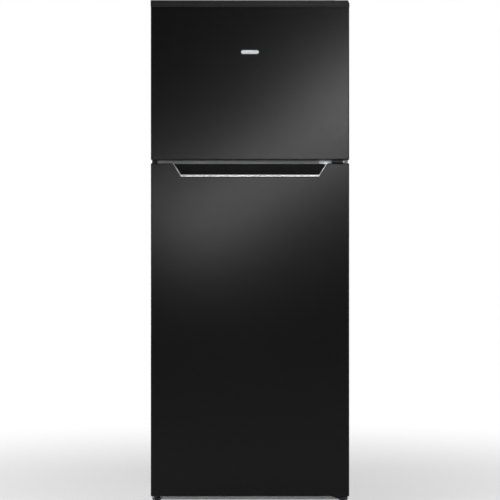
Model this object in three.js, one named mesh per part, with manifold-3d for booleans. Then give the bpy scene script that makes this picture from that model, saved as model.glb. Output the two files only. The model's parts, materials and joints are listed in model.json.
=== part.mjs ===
// Top freezer refrigerator, right hand hinged, frost free, with a recessed pull in the top edge of the lower door.
// Millimetres, +Z up, the doors face -Y. The origin is on the floor at the middle of the footprint.
// Inside the file every piece is drawn in a working frame whose door fronts lie at y = -349;
// the outer group then shifts the whole object by SHIFT_Y, so that the footprint is centred.
import * as THREE from 'three';
import { mergeVertices } from 'three/addons/utils/BufferGeometryUtils.js';
import Module from 'manifold-3d';

const wasm = await Module();
wasm.setup();

// ---------------------------------------------------------------- driving dimensions
const SHIFT_Y = 9.5;          // puts the middle of the footprint on the origin
const GAP = 0.3;              // air between two pieces that touch
const CAB_HALF = 349;         // cabinet half width
const CAB_FRONT = -277;       // plane that the door gaskets seal on
const CAB_BACK = 329;         // rear edge of the side walls
const CAB_TOP = 1765;         // roof sheet; the door stands a little higher
const SHEET = 1.0;            // sheet metal of cabinet and doors
const DOOR_HALF = 349.2;      // door skins; the end caps stand 0.8 proud
const CAP_HALF = 350;
const DOOR_FRONT = -349;
const SHOULDER = 4.5;   // radius of the front edges of the doors
const DOOR_BACK = -287;
const DOOR_TOP = 1773, GAP_TOP = 1212, GAP_LOW = 1198.5, DOOR_LOW = 27.5;
const PIN_X = 322, PIN_Y = -320, PIN_R = 4, BORE_R = 4.8;
const LINER_X = 298, LINER_BACK = 260, WALL = 2;
const FRZ_LOW = 1244, FRZ_HIGH = 1706;
const FRG_LOW = 92, FRG_HIGH = 1166, STEP_Z = 300, STEP_Y0 = 70, STEP_Y1 = 88;
const DECK_Z = 60, DECK_Y = 118, HUMP_Y = 140, HUMP_Z = 256;
const PULL_TOP_HALF = 273, PULL_LOW_HALF = 242, PULL_LOW_Z = 1149;   // trapezoid cut-out of the pull
const SHELF_Z = [588, 856], CRISPER_COVER_Z = 301, FREEZER_SHELF_Z = 1508;
const TRAY_X = -180, TRAY_Z = 1445;                                  // axis of the twist ice tray
const KNOB_X = -70, KNOB_Z = 1144;
const FAN_C = { x: -146, y: 232, z: 138 }, EFAN = { x: 0, y: 214, z: 1570 };
const ROLLER = { x: 318, y: 285, z: 18, r: 18 };
const FOOT_X = 330, FOOT_Y = -292;

// ---------------------------------------------------------------- geometry helpers
function solid(g) {
  const bare = new THREE.BufferGeometry();
  const n = g.index ? g.toNonIndexed() : g;
  bare.setAttribute('position', n.getAttribute('position').clone());
  const m = mergeVertices(bare, 1e-4);
  return new wasm.Manifold(new wasm.Mesh({
    numProp: 3,
    vertProperties: new Float32Array(m.attributes.position.array),
    triVerts: new Uint32Array(m.index.array),
  }));
}
function geometryOf(s) {
  const m = s.getMesh(), n = m.numProp, v = new Float32Array(m.numVert * 3);
  for (let i = 0; i < m.numVert; i++) v.set(m.vertProperties.subarray(i * n, i * n + 3), i * 3);
  const g = new THREE.BufferGeometry();
  g.setAttribute('position', new THREE.BufferAttribute(v, 3));
  g.setIndex(new THREE.BufferAttribute(new Uint32Array(m.triVerts), 1));
  return g;
}
const box = (x0, x1, y0, y1, z0, z1) =>
  solid(new THREE.BoxGeometry(x1 - x0, y1 - y0, z1 - z0).translate((x0 + x1) / 2, (y0 + y1) / 2, (z0 + z1) / 2));
function shapeOf(points) {
  const s = new THREE.Shape();
  points.forEach(([a, b], i) => (i ? s.lineTo(a, b) : s.moveTo(a, b)));
  s.closePath();
  return s;
}
// A polygon extruded along an axis: (y, z) points for 'x', (x, z) points for 'y', (x, y) points for 'z'.
function prism(axis, points, a0, a1) {
  const g = new THREE.ExtrudeGeometry(shapeOf(points), { depth: a1 - a0, bevelEnabled: false, steps: 1 });
  if (axis === 'z') g.translate(0, 0, a0);
  if (axis === 'x') g.applyMatrix4(new THREE.Matrix4().set(0, 0, 1, a0, 1, 0, 0, 0, 0, 1, 0, 0, 0, 0, 0, 1));
  if (axis === 'y') g.applyMatrix4(new THREE.Matrix4().set(1, 0, 0, 0, 0, 0, -1, a1, 0, 1, 0, 0, 0, 0, 0, 1));
  return solid(g);
}
// A cylinder along an axis from a0 to a1, centred on the two other coordinates, in axis order.
function cyl(axis, c0, c1, r, a0, a1, seg = 16, r2 = r) {
  const g = new THREE.CylinderGeometry(r2, r, a1 - a0, seg);
  const m = (a0 + a1) / 2;
  if (axis === 'z') g.rotateX(Math.PI / 2).translate(c0, c1, m);
  if (axis === 'x') g.rotateZ(-Math.PI / 2).translate(m, c0, c1);
  if (axis === 'y') g.translate(c0, m, c1);
  return solid(g);
}
function rounded(x0, x1, y0, y1, r, seg = 3) {
  const pts = [];
  for (const [cx, cy, a] of [[x1 - r, y1 - r, 0], [x0 + r, y1 - r, 90], [x0 + r, y0 + r, 180], [x1 - r, y0 + r, 270]])
    for (let i = 0; i <= seg; i++) {
      const t = ((a + (90 * i) / seg) * Math.PI) / 180;
      pts.push([cx + r * Math.cos(t), cy + r * Math.sin(t)]);
    }
  return pts;
}
const add = (...s) => s.reduce((a, b) => a.add(b));
const cut = (a, ...s) => s.reduce((p, q) => p.subtract(q), a);
// A round tube through a row of points: every corner is cut back and joined by one short chord, mitred on both sides.
function sweep(points, cutBack, radius, sides) {
  const line = [];
  points.forEach((p, i) => {
    const prev = points[i - 1], next = points[i + 1];
    if (prev) line.push(p.clone().lerp(prev, Math.min(0.45, cutBack / p.distanceTo(prev))));
    if (!prev || !next) line.push(p.clone());
    if (next) line.push(p.clone().lerp(next, Math.min(0.45, cutBack / p.distanceTo(next))));
  });
  const path = line.filter((p, i) => !i || p.distanceTo(line[i - 1]) > 1e-3);
  if (path[0].distanceTo(path[1]) < 1) path.splice(1, 1);
  const dirs = path.slice(1).map((p, i) => p.clone().sub(path[i]).normalize());
  let u = new THREE.Vector3(0, 0, 1);
  if (Math.abs(u.dot(dirs[0])) > 0.9) u.set(1, 0, 0);
  u.addScaledVector(dirs[0], -u.dot(dirs[0])).normalize();
  const verts = [], tris = [];
  path.forEach((p, i) => {
    const a = dirs[Math.max(0, i - 1)], b = dirs[Math.min(dirs.length - 1, i)];
    if (i && i < path.length - 1) {
      u = u.clone().applyQuaternion(new THREE.Quaternion().setFromUnitVectors(a, b));
    }
    const w = new THREE.Vector3().crossVectors(b, u);
    // Ring of the outgoing leg, slid along that leg onto the bisecting plane.
    const n = a.clone().add(b).normalize(), k = n.dot(b);
    for (let j = 0; j < sides; j++) {
      const t = (2 * Math.PI * j) / sides;
      const r = u.clone().multiplyScalar(radius * Math.cos(t)).addScaledVector(w, radius * Math.sin(t));
      r.addScaledVector(b, -r.dot(n) / k);
      verts.push(p.x + r.x, p.y + r.y, p.z + r.z);
    }
  });
  const at = (i, j) => i * sides + (j % sides);
  for (let i = 0; i + 1 < path.length; i++)
    for (let j = 0; j < sides; j++) tris.push(at(i, j), at(i, j + 1), at(i + 1, j), at(i, j + 1), at(i + 1, j + 1), at(i + 1, j));
  for (let j = 1; j + 1 < sides; j++) tris.push(0, j + 1, j, at(path.length - 1, 0), at(path.length - 1, j), at(path.length - 1, j + 1));
  return new wasm.Manifold(new wasm.Mesh({ numProp: 3, vertProperties: new Float32Array(verts), triVerts: new Uint32Array(tris) }));
}
const mirrorX = (pts) => pts.map(([a, b]) => [-a, b]).reverse();

// ---------------------------------------------------------------- materials
const mat = (color, roughness, metalness, name) => new THREE.MeshStandardMaterial({ name, color, roughness, metalness });
const M = {
  doorSteel: mat(0x232425, 0.38, 0.6, 'black_door_steel'),
  blackPlastic: mat(0x141415, 0.55, 0, 'black_plastic'),
  silverPaint: mat(0x9b9d9e, 0.45, 0.2, 'silver_grey_paint'),
  chrome: mat(0xd0d2d4, 0.15, 1, 'chrome_trim'),
  zinc: mat(0xaeb1b3, 0.4, 0.9, 'zinc_plate'),
  whiteLiner: mat(0xeef0f1, 0.35, 0, 'white_liner'),
  foam: mat(0xe6d9a8, 0.9, 0, 'insulation_foam'),
  gasket: mat(0x4d4f51, 0.7, 0, 'gasket_rubber'),
  clear: mat(0xdfe9ee, 0.1, 0, 'clear_plastic'),
  glass: mat(0xcfe3df, 0.05, 0, 'shelf_glass'),
  grey: mat(0xb9bdc0, 0.5, 0, 'grey_plastic'),
  compressor: mat(0x101011, 0.4, 0.3, 'compressor_shell'),
  copper: mat(0x9c5a34, 0.35, 0.9, 'coil_tube'),
  aluminium: mat(0xc7cacc, 0.35, 0.9, 'aluminium_fin'),
  lamp: mat(0xf8f8f2, 0.3, 0, 'lamp_lens'),
};

// ---------------------------------------------------------------- scene graph
const refrigerator = new THREE.Group();
refrigerator.name = 'refrigerator';
refrigerator.position.set(0, SHIFT_Y, 0);
function group(name, x = 0, y = 0, z = 0) {
  const g = new THREE.Group();
  g.name = name;
  g.position.set(x, y, z);
  refrigerator.add(g);
  return g;
}
// Adds a solid drawn in the working frame as a mesh whose own origin is the middle of its box.
function place(parent, name, s, material) {
  const g = geometryOf(s);
  g.computeBoundingBox();
  const c = g.boundingBox.getCenter(new THREE.Vector3());
  c.set(Math.round(c.x), Math.round(c.y), Math.round(c.z));
  g.translate(-c.x, -c.y, -c.z);
  g.computeVertexNormals();
  const mesh = new THREE.Mesh(g, material);
  mesh.name = name;
  mesh.position.copy(c).sub(parent.position);
  parent.add(mesh);
  return mesh;
}
const cabinet = group('cabinet_group');
const machine = group('machine_compartment', 0, 230, 60);
const freezer = group('freezer_interior', 0, 0, FRZ_LOW);
const fresh = group('fresh_food_interior', 0, 0, FRG_LOW);
const freezerDoor = group('freezer_door', PIN_X, PIN_Y, GAP_TOP);
const fridgeDoor = group('fridge_door', PIN_X, PIN_Y, DOOR_LOW);

// ================================================================ cabinet
{
  // Side and top sheet in one folded piece, with the front flange that the gaskets seal on.
  const x = CAB_HALF, t = SHEET;
  let shell = prism('y', [[-x, 20], [-x + t, 20], [-x + t, CAB_TOP - t], [x - t, CAB_TOP - t], [x - t, 20], [x, 20], [x, CAB_TOP], [-x, CAB_TOP]], CAB_FRONT, CAB_BACK);
  shell = add(shell,
    box(-x, -300.5, CAB_FRONT, CAB_FRONT + t, 90, CAB_TOP), box(300.5, x, CAB_FRONT, CAB_FRONT + t, 90, CAB_TOP),
    box(-x, x, CAB_FRONT, CAB_FRONT + t, FRZ_HIGH + WALL + 0.5, CAB_TOP));
  shell = cut(shell, box(-x - 1, x + 1, CAB_FRONT - 1, CAB_FRONT + 1.8, 10, 90));
  place(cabinet, 'cabinet_shell', shell, M.silverPaint);
}
place(cabinet, 'back_panel', box(-348.6, 348.6, CAB_BACK + GAP, CAB_BACK + 1.3, HUMP_Z + 1.5, CAB_TOP - 0.4), M.silverPaint);
{
  // Sheet under the foam: flat at the front, raised over the compressor at the back.
  const t = 1.5;
  place(cabinet, 'machine_deck', prism('x', [[-275.2, DECK_Z - t], [DECK_Y + 1.4, DECK_Z - t], [HUMP_Y + 1.4, HUMP_Z - t], [328.6, HUMP_Z - t], [328.6, HUMP_Z], [HUMP_Y, HUMP_Z], [DECK_Y, DECK_Z], [-275.2, DECK_Z]], -347.6, 347.6), M.grey);
}
{
  // Foamed-in insulation between the sheet and the two liners.
  let foam = prism('x', [[-275.2, DECK_Z + GAP], [DECK_Y - 0.3, DECK_Z + GAP], [HUMP_Y - 0.3, HUMP_Z + GAP], [328.6, HUMP_Z + GAP], [328.6, CAB_TOP - 1.4], [-275.2, CAB_TOP - 1.4]], -347.6, 347.6);
  foam = cut(foam,
    box(-300.4, 300.4, -280, 262.4, FRZ_LOW - 2.4, FRZ_HIGH + 2.4),
    prism('x', [[-280, 89.6], [72.2, 89.6], [90.2, 297.6], [262.4, 297.6], [262.4, 1168.4], [-280, 1168.4]], -300.4, 300.4),
    box(-300.4, 300.4, -280, -273.4, 1160, 1250));
  place(cabinet, 'cabinet_foam', foam, M.foam);
}
{
  // Front cross rail between the two compartments, with a raised bead under the middle.
  const rail = add(
    box(-300, 300, CAB_FRONT, CAB_FRONT + 1.5, 1168.6, 1241.5),
    box(-300, 300, CAB_FRONT, CAB_FRONT + 3.2, 1168.6, 1170.1), box(-300, 300, CAB_FRONT, CAB_FRONT + 3.2, 1240, 1241.5),
    box(-300, 240, CAB_FRONT - 2.5, CAB_FRONT + 0.5, 1199, 1206.5));
  place(cabinet, 'mullion_rail', rail, M.silverPaint);
}
{
  // Front foot rail and the two side skids, with the two tabs in front that hold the feet.
  let rail = add(
    box(-348.7, 348.7, CAB_FRONT, CAB_FRONT + 1.5, 7, 89.6),
    box(-348.7, 348.7, CAB_FRONT, -205, 7, 8.5),
    box(-348.7, -306, -206, 128, 7, 8.5), box(306, 348.7, -206, 128, 7, 8.5),
    box(-348.7, -347.2, CAB_FRONT, 128, 7, 19.6), box(347.2, 348.7, CAB_FRONT, 128, 7, 19.6));
  for (const s of [-1, 1]) rail = cut(rail.add(box(s * FOOT_X - 14, s * FOOT_X + 14, -306, CAB_FRONT + 1, 9, 14)), cyl('z', s * FOOT_X, FOOT_Y, 8.6, 0, 40));
  place(cabinet, 'base_rail', rail, M.zinc);
}
{
  // Top hinge: plate on the cabinet roof, arm over the lowered corner of the door, pin down into the door cap.
  // Its cover fills that corner up to the height of the door and is rounded about the pin, so that the door can turn past it.
  const z = CAB_TOP + GAP;
  const plate = prism('z', [[291, -204], [291, -322], [298, -338], [310, -343], [334, -343], [343, -334], [343, -204]], z, z + 3);
  place(cabinet, 'top_hinge', add(plate, cyl('z', PIN_X, PIN_Y, PIN_R, 1752, z + 1)), M.zinc);
  const nose = (d) => {
    const pts = [[347.5 - d, -196 - d], [286 + d, -196 - d]];
    for (let i = 0; i <= 4; i++) { const t = ((180 + (46 * i) / 4) * Math.PI) / 180; pts.push([PIN_X + (36 - d) * Math.cos(t), PIN_Y + (36 - d) * Math.sin(t)]); }
    return [...pts, [340 - d / 2, -345.9 + d], [347.5 - d, -338 + d / 2]];
  };
  const cover = cut(prism('z', nose(0), z, DOOR_TOP), prism('z', nose(2.2), z - 1, DOOR_TOP - 1.8));
  place(cabinet, 'top_hinge_cover', cover, M.blackPlastic);
}
{
  // Centre hinge: plate on the cross rail, arm between the doors, pins up and down.
  const c = add(
    box(246, 334, CAB_FRONT - 3.3, CAB_FRONT - GAP, 1191, 1219),
    prism('z', [[292, -278], [334, -278], [336, -320], [332, -336], [322, -341], [312, -336], [304, -318]], 1202.5, 1207.5),
    cyl('z', PIN_X, PIN_Y, PIN_R, 1180, 1232));
  place(cabinet, 'center_hinge', c, M.zinc);
}
{
  // Bottom hinge: plate on the foot rail, arm under the door, pin up into the door cap.
  // The right foot stands in a hole of the arm.
  const c = cut(add(
    box(292, 346, CAB_FRONT - 3.3, CAB_FRONT - GAP, 15, 62),
    prism('z', [[294, -278], [344, -278], [342, -324], [333, -338], [322, -342], [312, -338], [302, -322]], 18.5, 23.5),
    cyl('z', PIN_X, PIN_Y, PIN_R, 20, 48)), cyl('z', FOOT_X, FOOT_Y, 8.6, 16, 30));
  place(cabinet, 'bottom_hinge', c, M.blackPlastic);
}

// ================================================================ feet and rollers
for (const [side, s] of [['left', -1], ['right', 1]]) {
  const foot = add(cyl('z', s * FOOT_X, FOOT_Y, 9, 0, 6.2, 24), cyl('z', s * FOOT_X, FOOT_Y, 8, 6, 26.4, 20));
  place(cabinet, 'foot_' + side, foot, M.blackPlastic);
  const { x, y, z, r } = ROLLER;
  const wheel = cut(cyl('x', y, z, r, s * x - 10.5, s * x + 10.5, 32), cyl('x', y, z, 5, s * x - 12, s * x + 12, 16));
  place(machine, 'roller_' + side, wheel, M.grey);
}

// ================================================================ machine compartment
{
  // Plate that carries the compressor, with a forked cheek and a pin for each rear roller.
  let p = add(box(-347, 347, 132, 327, 38, 39.5), box(-347, -345.5, 132, 327, 21, 39.5), box(345.5, 347, 132, 327, 21, 39.5));
  const { x, y, z } = ROLLER;
  for (const s of [-1, 1])
    p = add(p, box(s * x - 15, s * x - 13, y - 17, y + 17, 12, 38.5), box(s * x + 13, s * x + 15, y - 17, y + 17, 12, 38.5), cyl('x', y, z, 4.3, s * x - 16.5, s * x + 16.5, 16));
  place(machine, 'compressor_plate', p, M.zinc);
}
{
  // Hermetic compressor on its bracket, with four rubber-bushed legs.
  const cx = 130, cy = 232;
  const r = [[0, 0], [48, 0], [62, 10], [68, 32], [68, 78], [62, 104], [44, 128], [20, 139], [0, 141]];
  const g = new THREE.LatheGeometry(r.map(([a, b]) => new THREE.Vector2(a, b)), 16);
  g.rotateX(Math.PI / 2).scale(1.22, 1, 1).translate(cx, cy, 62);
  let c = add(solid(g), prism('z', rounded(cx - 92, cx + 92, cy - 78, cy + 78, 14, 2), 53, 63.5));
  for (const a of [-1, 1]) for (const b of [-1, 1]) c = c.add(cyl('z', cx + a * 78, cy + b * 64, 9, 39.8, 54, 12));
  c = c.add(box(cx + 78, cx + 104, cy - 30, cy + 30, 92, 152));
  place(machine, 'compressor', c, M.compressor);
}
{
  // Forced-air condenser: one serpentine tube in three stacked layers of passes.
  const pts = [];
  const y0 = 158, y1 = 306, xs = [-325, -297, -269, -241, -213];
  let flip = false;
  for (let k = 0; k < 4; k++) {
    const z = 62 + k * 46;
    const order = k % 2 ? [...xs].reverse() : xs;
    for (const x of order) {
      pts.push([x, flip ? y1 : y0, z], [x, flip ? y0 : y1, z]);
      flip = !flip;
    }
  }
  let tube = sweep(pts.map((p) => new THREE.Vector3(...p)), 9, 3, 6);
  // One wire comb ties the layers together at each end.
  for (const y of [185, 280]) tube = tube.add(box(-335, -203, y, y + 2.5, 56, 59.6).add(box(-335, -331, y, y + 2.5, 56, 206)).add(box(-207, -203, y, y + 2.5, 56, 206)));
  tube = tube.add(box(-333, -322, 185, 187.5, 60, 66)).add(box(-333, -322, 280, 282.5, 60, 66)).add(box(-216, -205, 185, 187.5, 196, 204)).add(box(-216, -205, 280, 282.5, 196, 204));
  place(machine, 'condenser_coil', tube, M.compressor);
}
{
  const { y, z } = FAN_C;
  let s = cut(box(-150, -147, 146, 318, 44, 232), cyl('x', y, z, 66, -160, -140, 24));
  s = s.add(cut(cyl('x', y, z, 69, -149, -140, 24), cyl('x', y, z, 66, -160, -130, 24)));
  // Motor on four struts behind the blades.
  for (const [a, b] of [[-1, -1], [-1, 1], [1, -1], [1, 1]])
    s = s.add(box(-142, -98, y + a * 52 - 3, y + a * 52 + 3, z + b * 44 - 3, z + b * 44 + 3));
  s = add(s, box(-102, -98, y - 56, y + 56, z - 47, z - 41), box(-102, -98, y - 56, y + 56, z + 41, z + 47), box(-102, -98, y - 8, y + 8, z - 46, z + 46),
    cyl('x', y, z, 19, -124, -98, 20), cyl('x', y, z, 3.2, -142, -120, 12));
  place(machine, 'condenser_fan_shroud', s, M.grey);
  place(machine, 'condenser_fan', fan('x', y, z, -158, -132, 18, 60, 5, 4), M.blackPlastic);
}
// Axial fan: a hub with a shaft bore and flat pitched blades. The axis runs along 'x' or 'y' from a0 to a1.
function fan(axis, c0, c1, a0, a1, hub, tip, blades, bore) {
  const mid = (a0 + a1) / 2, width = (a1 - a0) * 0.62;
  let f = cyl('z', 0, 0, hub, a0 - mid, a1 - mid, 24);
  for (let i = 0; i < blades; i++) {
    const g = new THREE.ExtrudeGeometry(shapeOf([[hub - 3, -9], [tip * 0.55, -19], [tip * 0.92, -21], [tip, -10], [tip * 0.97, 8], [tip * 0.6, 12], [hub - 3, 9]]), { depth: 1.8, bevelEnabled: false });
    g.translate(0, 0, -0.9).rotateX(Math.atan2(width, 34)).rotateZ((i * 2 * Math.PI) / blades);
    f = f.add(solid(g));
  }
  // The shaft bore is blind and opens towards the motor.
  f = cut(f, axis === 'x' ? cyl('z', 0, 0, bore, a0 - mid + 4, a1 - mid + 1, 12) : cyl('z', 0, 0, bore, a0 - mid - 1, a1 - mid - 4, 12));
  const g = geometryOf(f);
  if (axis === 'x') g.applyMatrix4(new THREE.Matrix4().set(0, 0, 1, mid, 1, 0, 0, c0, 0, 1, 0, c1, 0, 0, 0, 1));
  if (axis === 'y') g.applyMatrix4(new THREE.Matrix4().set(1, 0, 0, c0, 0, 0, -1, mid, 0, 1, 0, c1, 0, 0, 0, 1));
  return solid(g);
}
place(machine, 'drip_tray', cut(prism('z', rounded(-40, 262, 152, 318, 12, 2), 212, 242), prism('z', rounded(-37.5, 259.5, 154.5, 315.5, 10, 2), 214.5, 243)), M.blackPlastic);
{
  let c = box(-345, 345, CAB_BACK + GAP, 331, 38.5, HUMP_Z + 0.9);
  for (let i = 0; i < 9; i++) c = cut(c, box(-318 + i * 22, -308 + i * 22, 328, 332, 70, 215));
  for (let i = 0; i < 7; i++) c = cut(c, box(60 + i * 22, 70 + i * 22, 328, 332, 110, 215));
  c = cut(c, cyl('y', 290, 76, 10, 328, 332, 20));
  place(machine, 'machine_cover', c, M.grey);
  place(machine, 'cord_gland', cut(add(cyl('y', 290, 76, 13, 324, 328.9, 20), cyl('y', 290, 76, 9.6, 326, 331, 20)), cyl('y', 290, 76, 4.5, 320, 335, 16)), M.blackPlastic);
}

// ================================================================ liners
{
  let l = cut(box(-LINER_X - WALL, LINER_X + WALL, CAB_FRONT, LINER_BACK + WALL, FRZ_LOW - WALL, FRZ_HIGH + WALL), box(-LINER_X, LINER_X, CAB_FRONT - 1, LINER_BACK, FRZ_LOW, FRZ_HIGH));
  for (const s of [-1, 1]) l = l.add(box(Math.min(s * 286, s * 299), Math.max(s * 286, s * 299), -140, 192, FREEZER_SHELF_Z - 8.3, FREEZER_SHELF_Z - 0.3));
  place(freezer, 'freezer_liner', l, M.whiteLiner);
}
{
  let l = prism('x', [[CAB_FRONT, 90], [71.8, 90], [89.8, 298], [262, 298], [262, 1168], [CAB_FRONT, 1168]], -300, 300);
  l = cut(l, prism('x', [[CAB_FRONT - 1, FRG_LOW], [STEP_Y0, FRG_LOW], [STEP_Y1, STEP_Z], [LINER_BACK, STEP_Z], [LINER_BACK, FRG_HIGH], [CAB_FRONT - 1, FRG_HIGH]], -LINER_X, LINER_X));
  for (const s of [-1, 1])
    for (const z of [...SHELF_Z, 722, CRISPER_COVER_Z])
      l = l.add(box(Math.min(s * 287, s * 299), Math.max(s * 287, s * 299), -140, z === CRISPER_COVER_Z ? 86 : 240, z - 8.3, z - 0.3));
  // Housing of the door switch under the ceiling.
  l = l.add(cut(box(236, 264, -244, -214, 1139, 1167), cyl('y', 250, 1154, 5.8, -250, -222, 16)));
  place(fresh, 'fridge_liner', l, M.whiteLiner);
}
place(fresh, 'door_switch', add(cyl('y', 250, 1154, 5, -253.2, -229, 16)), M.grey);

// ================================================================ freezer interior
{
  // Evaporator: a fin stack about a middle web, with the return bends of its tubes at both ends.
  const fins = 15, front = [], rear = [];
  for (let i = 0; i < fins; i++) {
    const x = -231 + i * 33;
    front.push([x - 1, 230], [x - 1, 210], [x + 1, 210], [x + 1, 230]);
    rear.unshift([x + 1, 234], [x + 1, 254], [x - 1, 254], [x - 1, 234]);
  }
  let e = prism('z', [...front, ...rear], 1264, 1436);
  for (const [a, b] of [[1290, 1335], [1380, 1420]]) e = add(e, box(231, 244, 228, 236, a - 4, b + 4), box(-244, -231, 228, 236, a - 4, b + 4));
  place(freezer, 'evaporator', e, M.aluminium);
}
{
  // Cover of the evaporator, with the return slots low down, the blower grille and the blower motor behind it.
  const { x, z } = EFAN;
  let c = prism('y', rounded(-295, 295, 1246, 1704, 10, 2), 196, 199);
  for (let i = 0; i < 8; i++) c = cut(c, box(-258 + i * 66, -204 + i * 66, 190, 205, 1258, 1268));
  for (let i = -3; i <= 3; i++) { const w = Math.sqrt(56 * 56 - (i * 15) ** 2); c = cut(c, box(x - w, x + w, 190, 205, z + i * 15 - 4.5, z + i * 15 + 4.5)); }
  for (const a of [-1, 1]) c = c.add(box(x + a * 66 - 3, x + a * 66 + 3, 198, 242, z - 10, z + 10));
  c = add(c, box(x - 69, x + 69, 238, 242, z - 10, z + 10), cyl('y', x, z, 17, 228, 254, 20), cyl('y', x, z, 2.8, 212, 230, 12));
  place(freezer, 'evaporator_cover', c, M.whiteLiner);
  place(freezer, 'evaporator_fan', fan('y', x, z, 204, 224, 15, 54, 5, 3.6), M.whiteLiner);
}
place(freezer, 'freezer_shelf', add(box(-291, 291, -128, 188, FREEZER_SHELF_Z + 3, FREEZER_SHELF_Z + 8), box(-291, 291, -134, -122, FREEZER_SHELF_Z, FREEZER_SHELF_Z + 12), box(-291, 291, 180, 190, FREEZER_SHELF_Z, FREEZER_SHELF_Z + 12),
  box(-291, -281, -130, 188, FREEZER_SHELF_Z, FREEZER_SHELF_Z + 9), box(281, 291, -130, 188, FREEZER_SHELF_Z, FREEZER_SHELF_Z + 9)), M.glass);
{
  const x = TRAY_X, z = TRAY_Z;
  let f = cut(box(x - 73, x + 73, -132, 132, 1404, 1507.7), box(x - 70, x + 70, -129, 129, 1400, 1510));
  f = add(f, box(x - 86, x - 72, -132, 132, 1504.2, 1507.7), box(x + 72, x + 86, -132, 132, 1504.2, 1507.7));
  f = cut(f, cyl('y', x, z, 9, -140, -120, 16), cyl('y', x, z, 5.8, 120, 140, 16));
  place(freezer, 'ice_tray_frame', f, M.whiteLiner);
  let t = box(x - 55, x + 55, -120, 120, z - 17, z + 17);
  for (let i = 0; i < 5; i++) for (const a of [-1, 1]) {
    const y = -94 + i * 47, cx = x + a * 26.5;
    t = cut(t, prism('y', [[cx - 18, z - 14], [cx + 18, z - 14], [cx + 23.5, z + 20], [cx - 23.5, z + 20]], y - 21.5, y + 21.5));
  }
  t = add(t, cyl('y', x, z, 8.2, -136, -118, 16), cyl('y', x, z, 5, 118, 134, 16), cyl('y', x, z, 16.8, -146, -135, 24), box(x - 4, x + 4, -156, -145, z - 15.5, z + 15.5));
  place(freezer, 'ice_tray', t, M.grey);
}
{
  // Ice bucket on the freezer floor.
  let b = cut(prism('y', [[-285, 1384], [-281, 1246], [-34, 1246], [-30, 1384]], -150, 150), prism('y', [[-282.5, 1390], [-278.5, 1248.5], [-36.5, 1248.5], [-32.5, 1390]], -146, 147.5));
  b = b.add(cut(box(-215, -100, -168, -148, 1346, 1376), box(-211, -104, -164.5, -150, 1340, 1372)));

  place(freezer, 'ice_bin', b, M.clear);
}

// ================================================================ fresh food interior
{
  let d = prism('y', rounded(-90, 90, 332, 1108, 8, 2), 247, 259.6);
  for (const z of [400, 520, 660, 790, 920, 1040]) d = cut(d, box(-62, -14, 240, 265, z - 6, z + 6), box(14, 62, 240, 265, z - 6, z + 6));
  place(fresh, 'air_duct_cover', d, M.whiteLiner);
}
{
  let c = prism('x', [[-150, 1124], [8, 1112], [10, 1165.6], [-150, 1165.6]], -140, 140);
  c = cut(c, cyl('y', KNOB_X, KNOB_Z, 4.8, -152, -136, 16));
  place(fresh, 'control_box', c, M.grey);
  place(fresh, 'temperature_knob', add(cyl('y', KNOB_X, KNOB_Z, 17, -166, -150.6, 24), cyl('y', KNOB_X, KNOB_Z, 4, -151, -138, 16), box(KNOB_X - 2.5, KNOB_X + 2.5, -168.5, -165, KNOB_Z - 15, KNOB_Z + 15)), M.whiteLiner);
  place(fresh, 'lamp_cover', prism('x', [[16, 1150], [24, 1142], [140, 1142], [148, 1150], [148, 1165.6], [16, 1165.6]], -108, 108), M.lamp);
}
SHELF_Z.forEach((z, i) =>
  place(fresh, ['shelf_middle', 'shelf_upper'][i], add(box(-294, 294, -140, 234, z + 3, z + 8), box(-294, 294, -148, -134, z, z + 12), box(-294, 294, 226, 238, z, z + 16),
    box(-294, -284, -142, 236, z, z + 9), box(284, 294, -142, 236, z, z + 9)), M.glass));
{
  const z = CRISPER_COVER_Z;
  place(fresh, 'crisper_cover', add(box(-294, 294, -140, 250, z + 3, z + 8), box(-294, 294, -148, -134, z, z + 12), box(-294, 294, 240, 252, z, z + 12),
    box(-294, -284, -142, 244, z, z + 9), box(284, 294, -142, 244, z, z + 9)), M.glass);
}
for (const [side, a, b] of [['left', -284, -4], ['right', 4, 284]]) {
  let c = cut(prism('y', [[a + 6, 93], [b - 6, 93], [b, 290], [a, 290]], -142, 62), prism('y', [[a + 9, 96], [b - 9, 96], [b - 3, 292], [a + 3, 292]], -138, 59));
  const m = (a + b) / 2;
  // Front panel with the pull lip.
  c = add(c, prism('y', rounded(a, b, 94, 290, 6, 2), -145, -139), box(m - 70, m + 70, -160, -144, 263, 267), box(m - 70, m + 70, -160, -157, 250, 266));
  place(fresh, 'crisper_' + side, c, M.clear);
}

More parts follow.
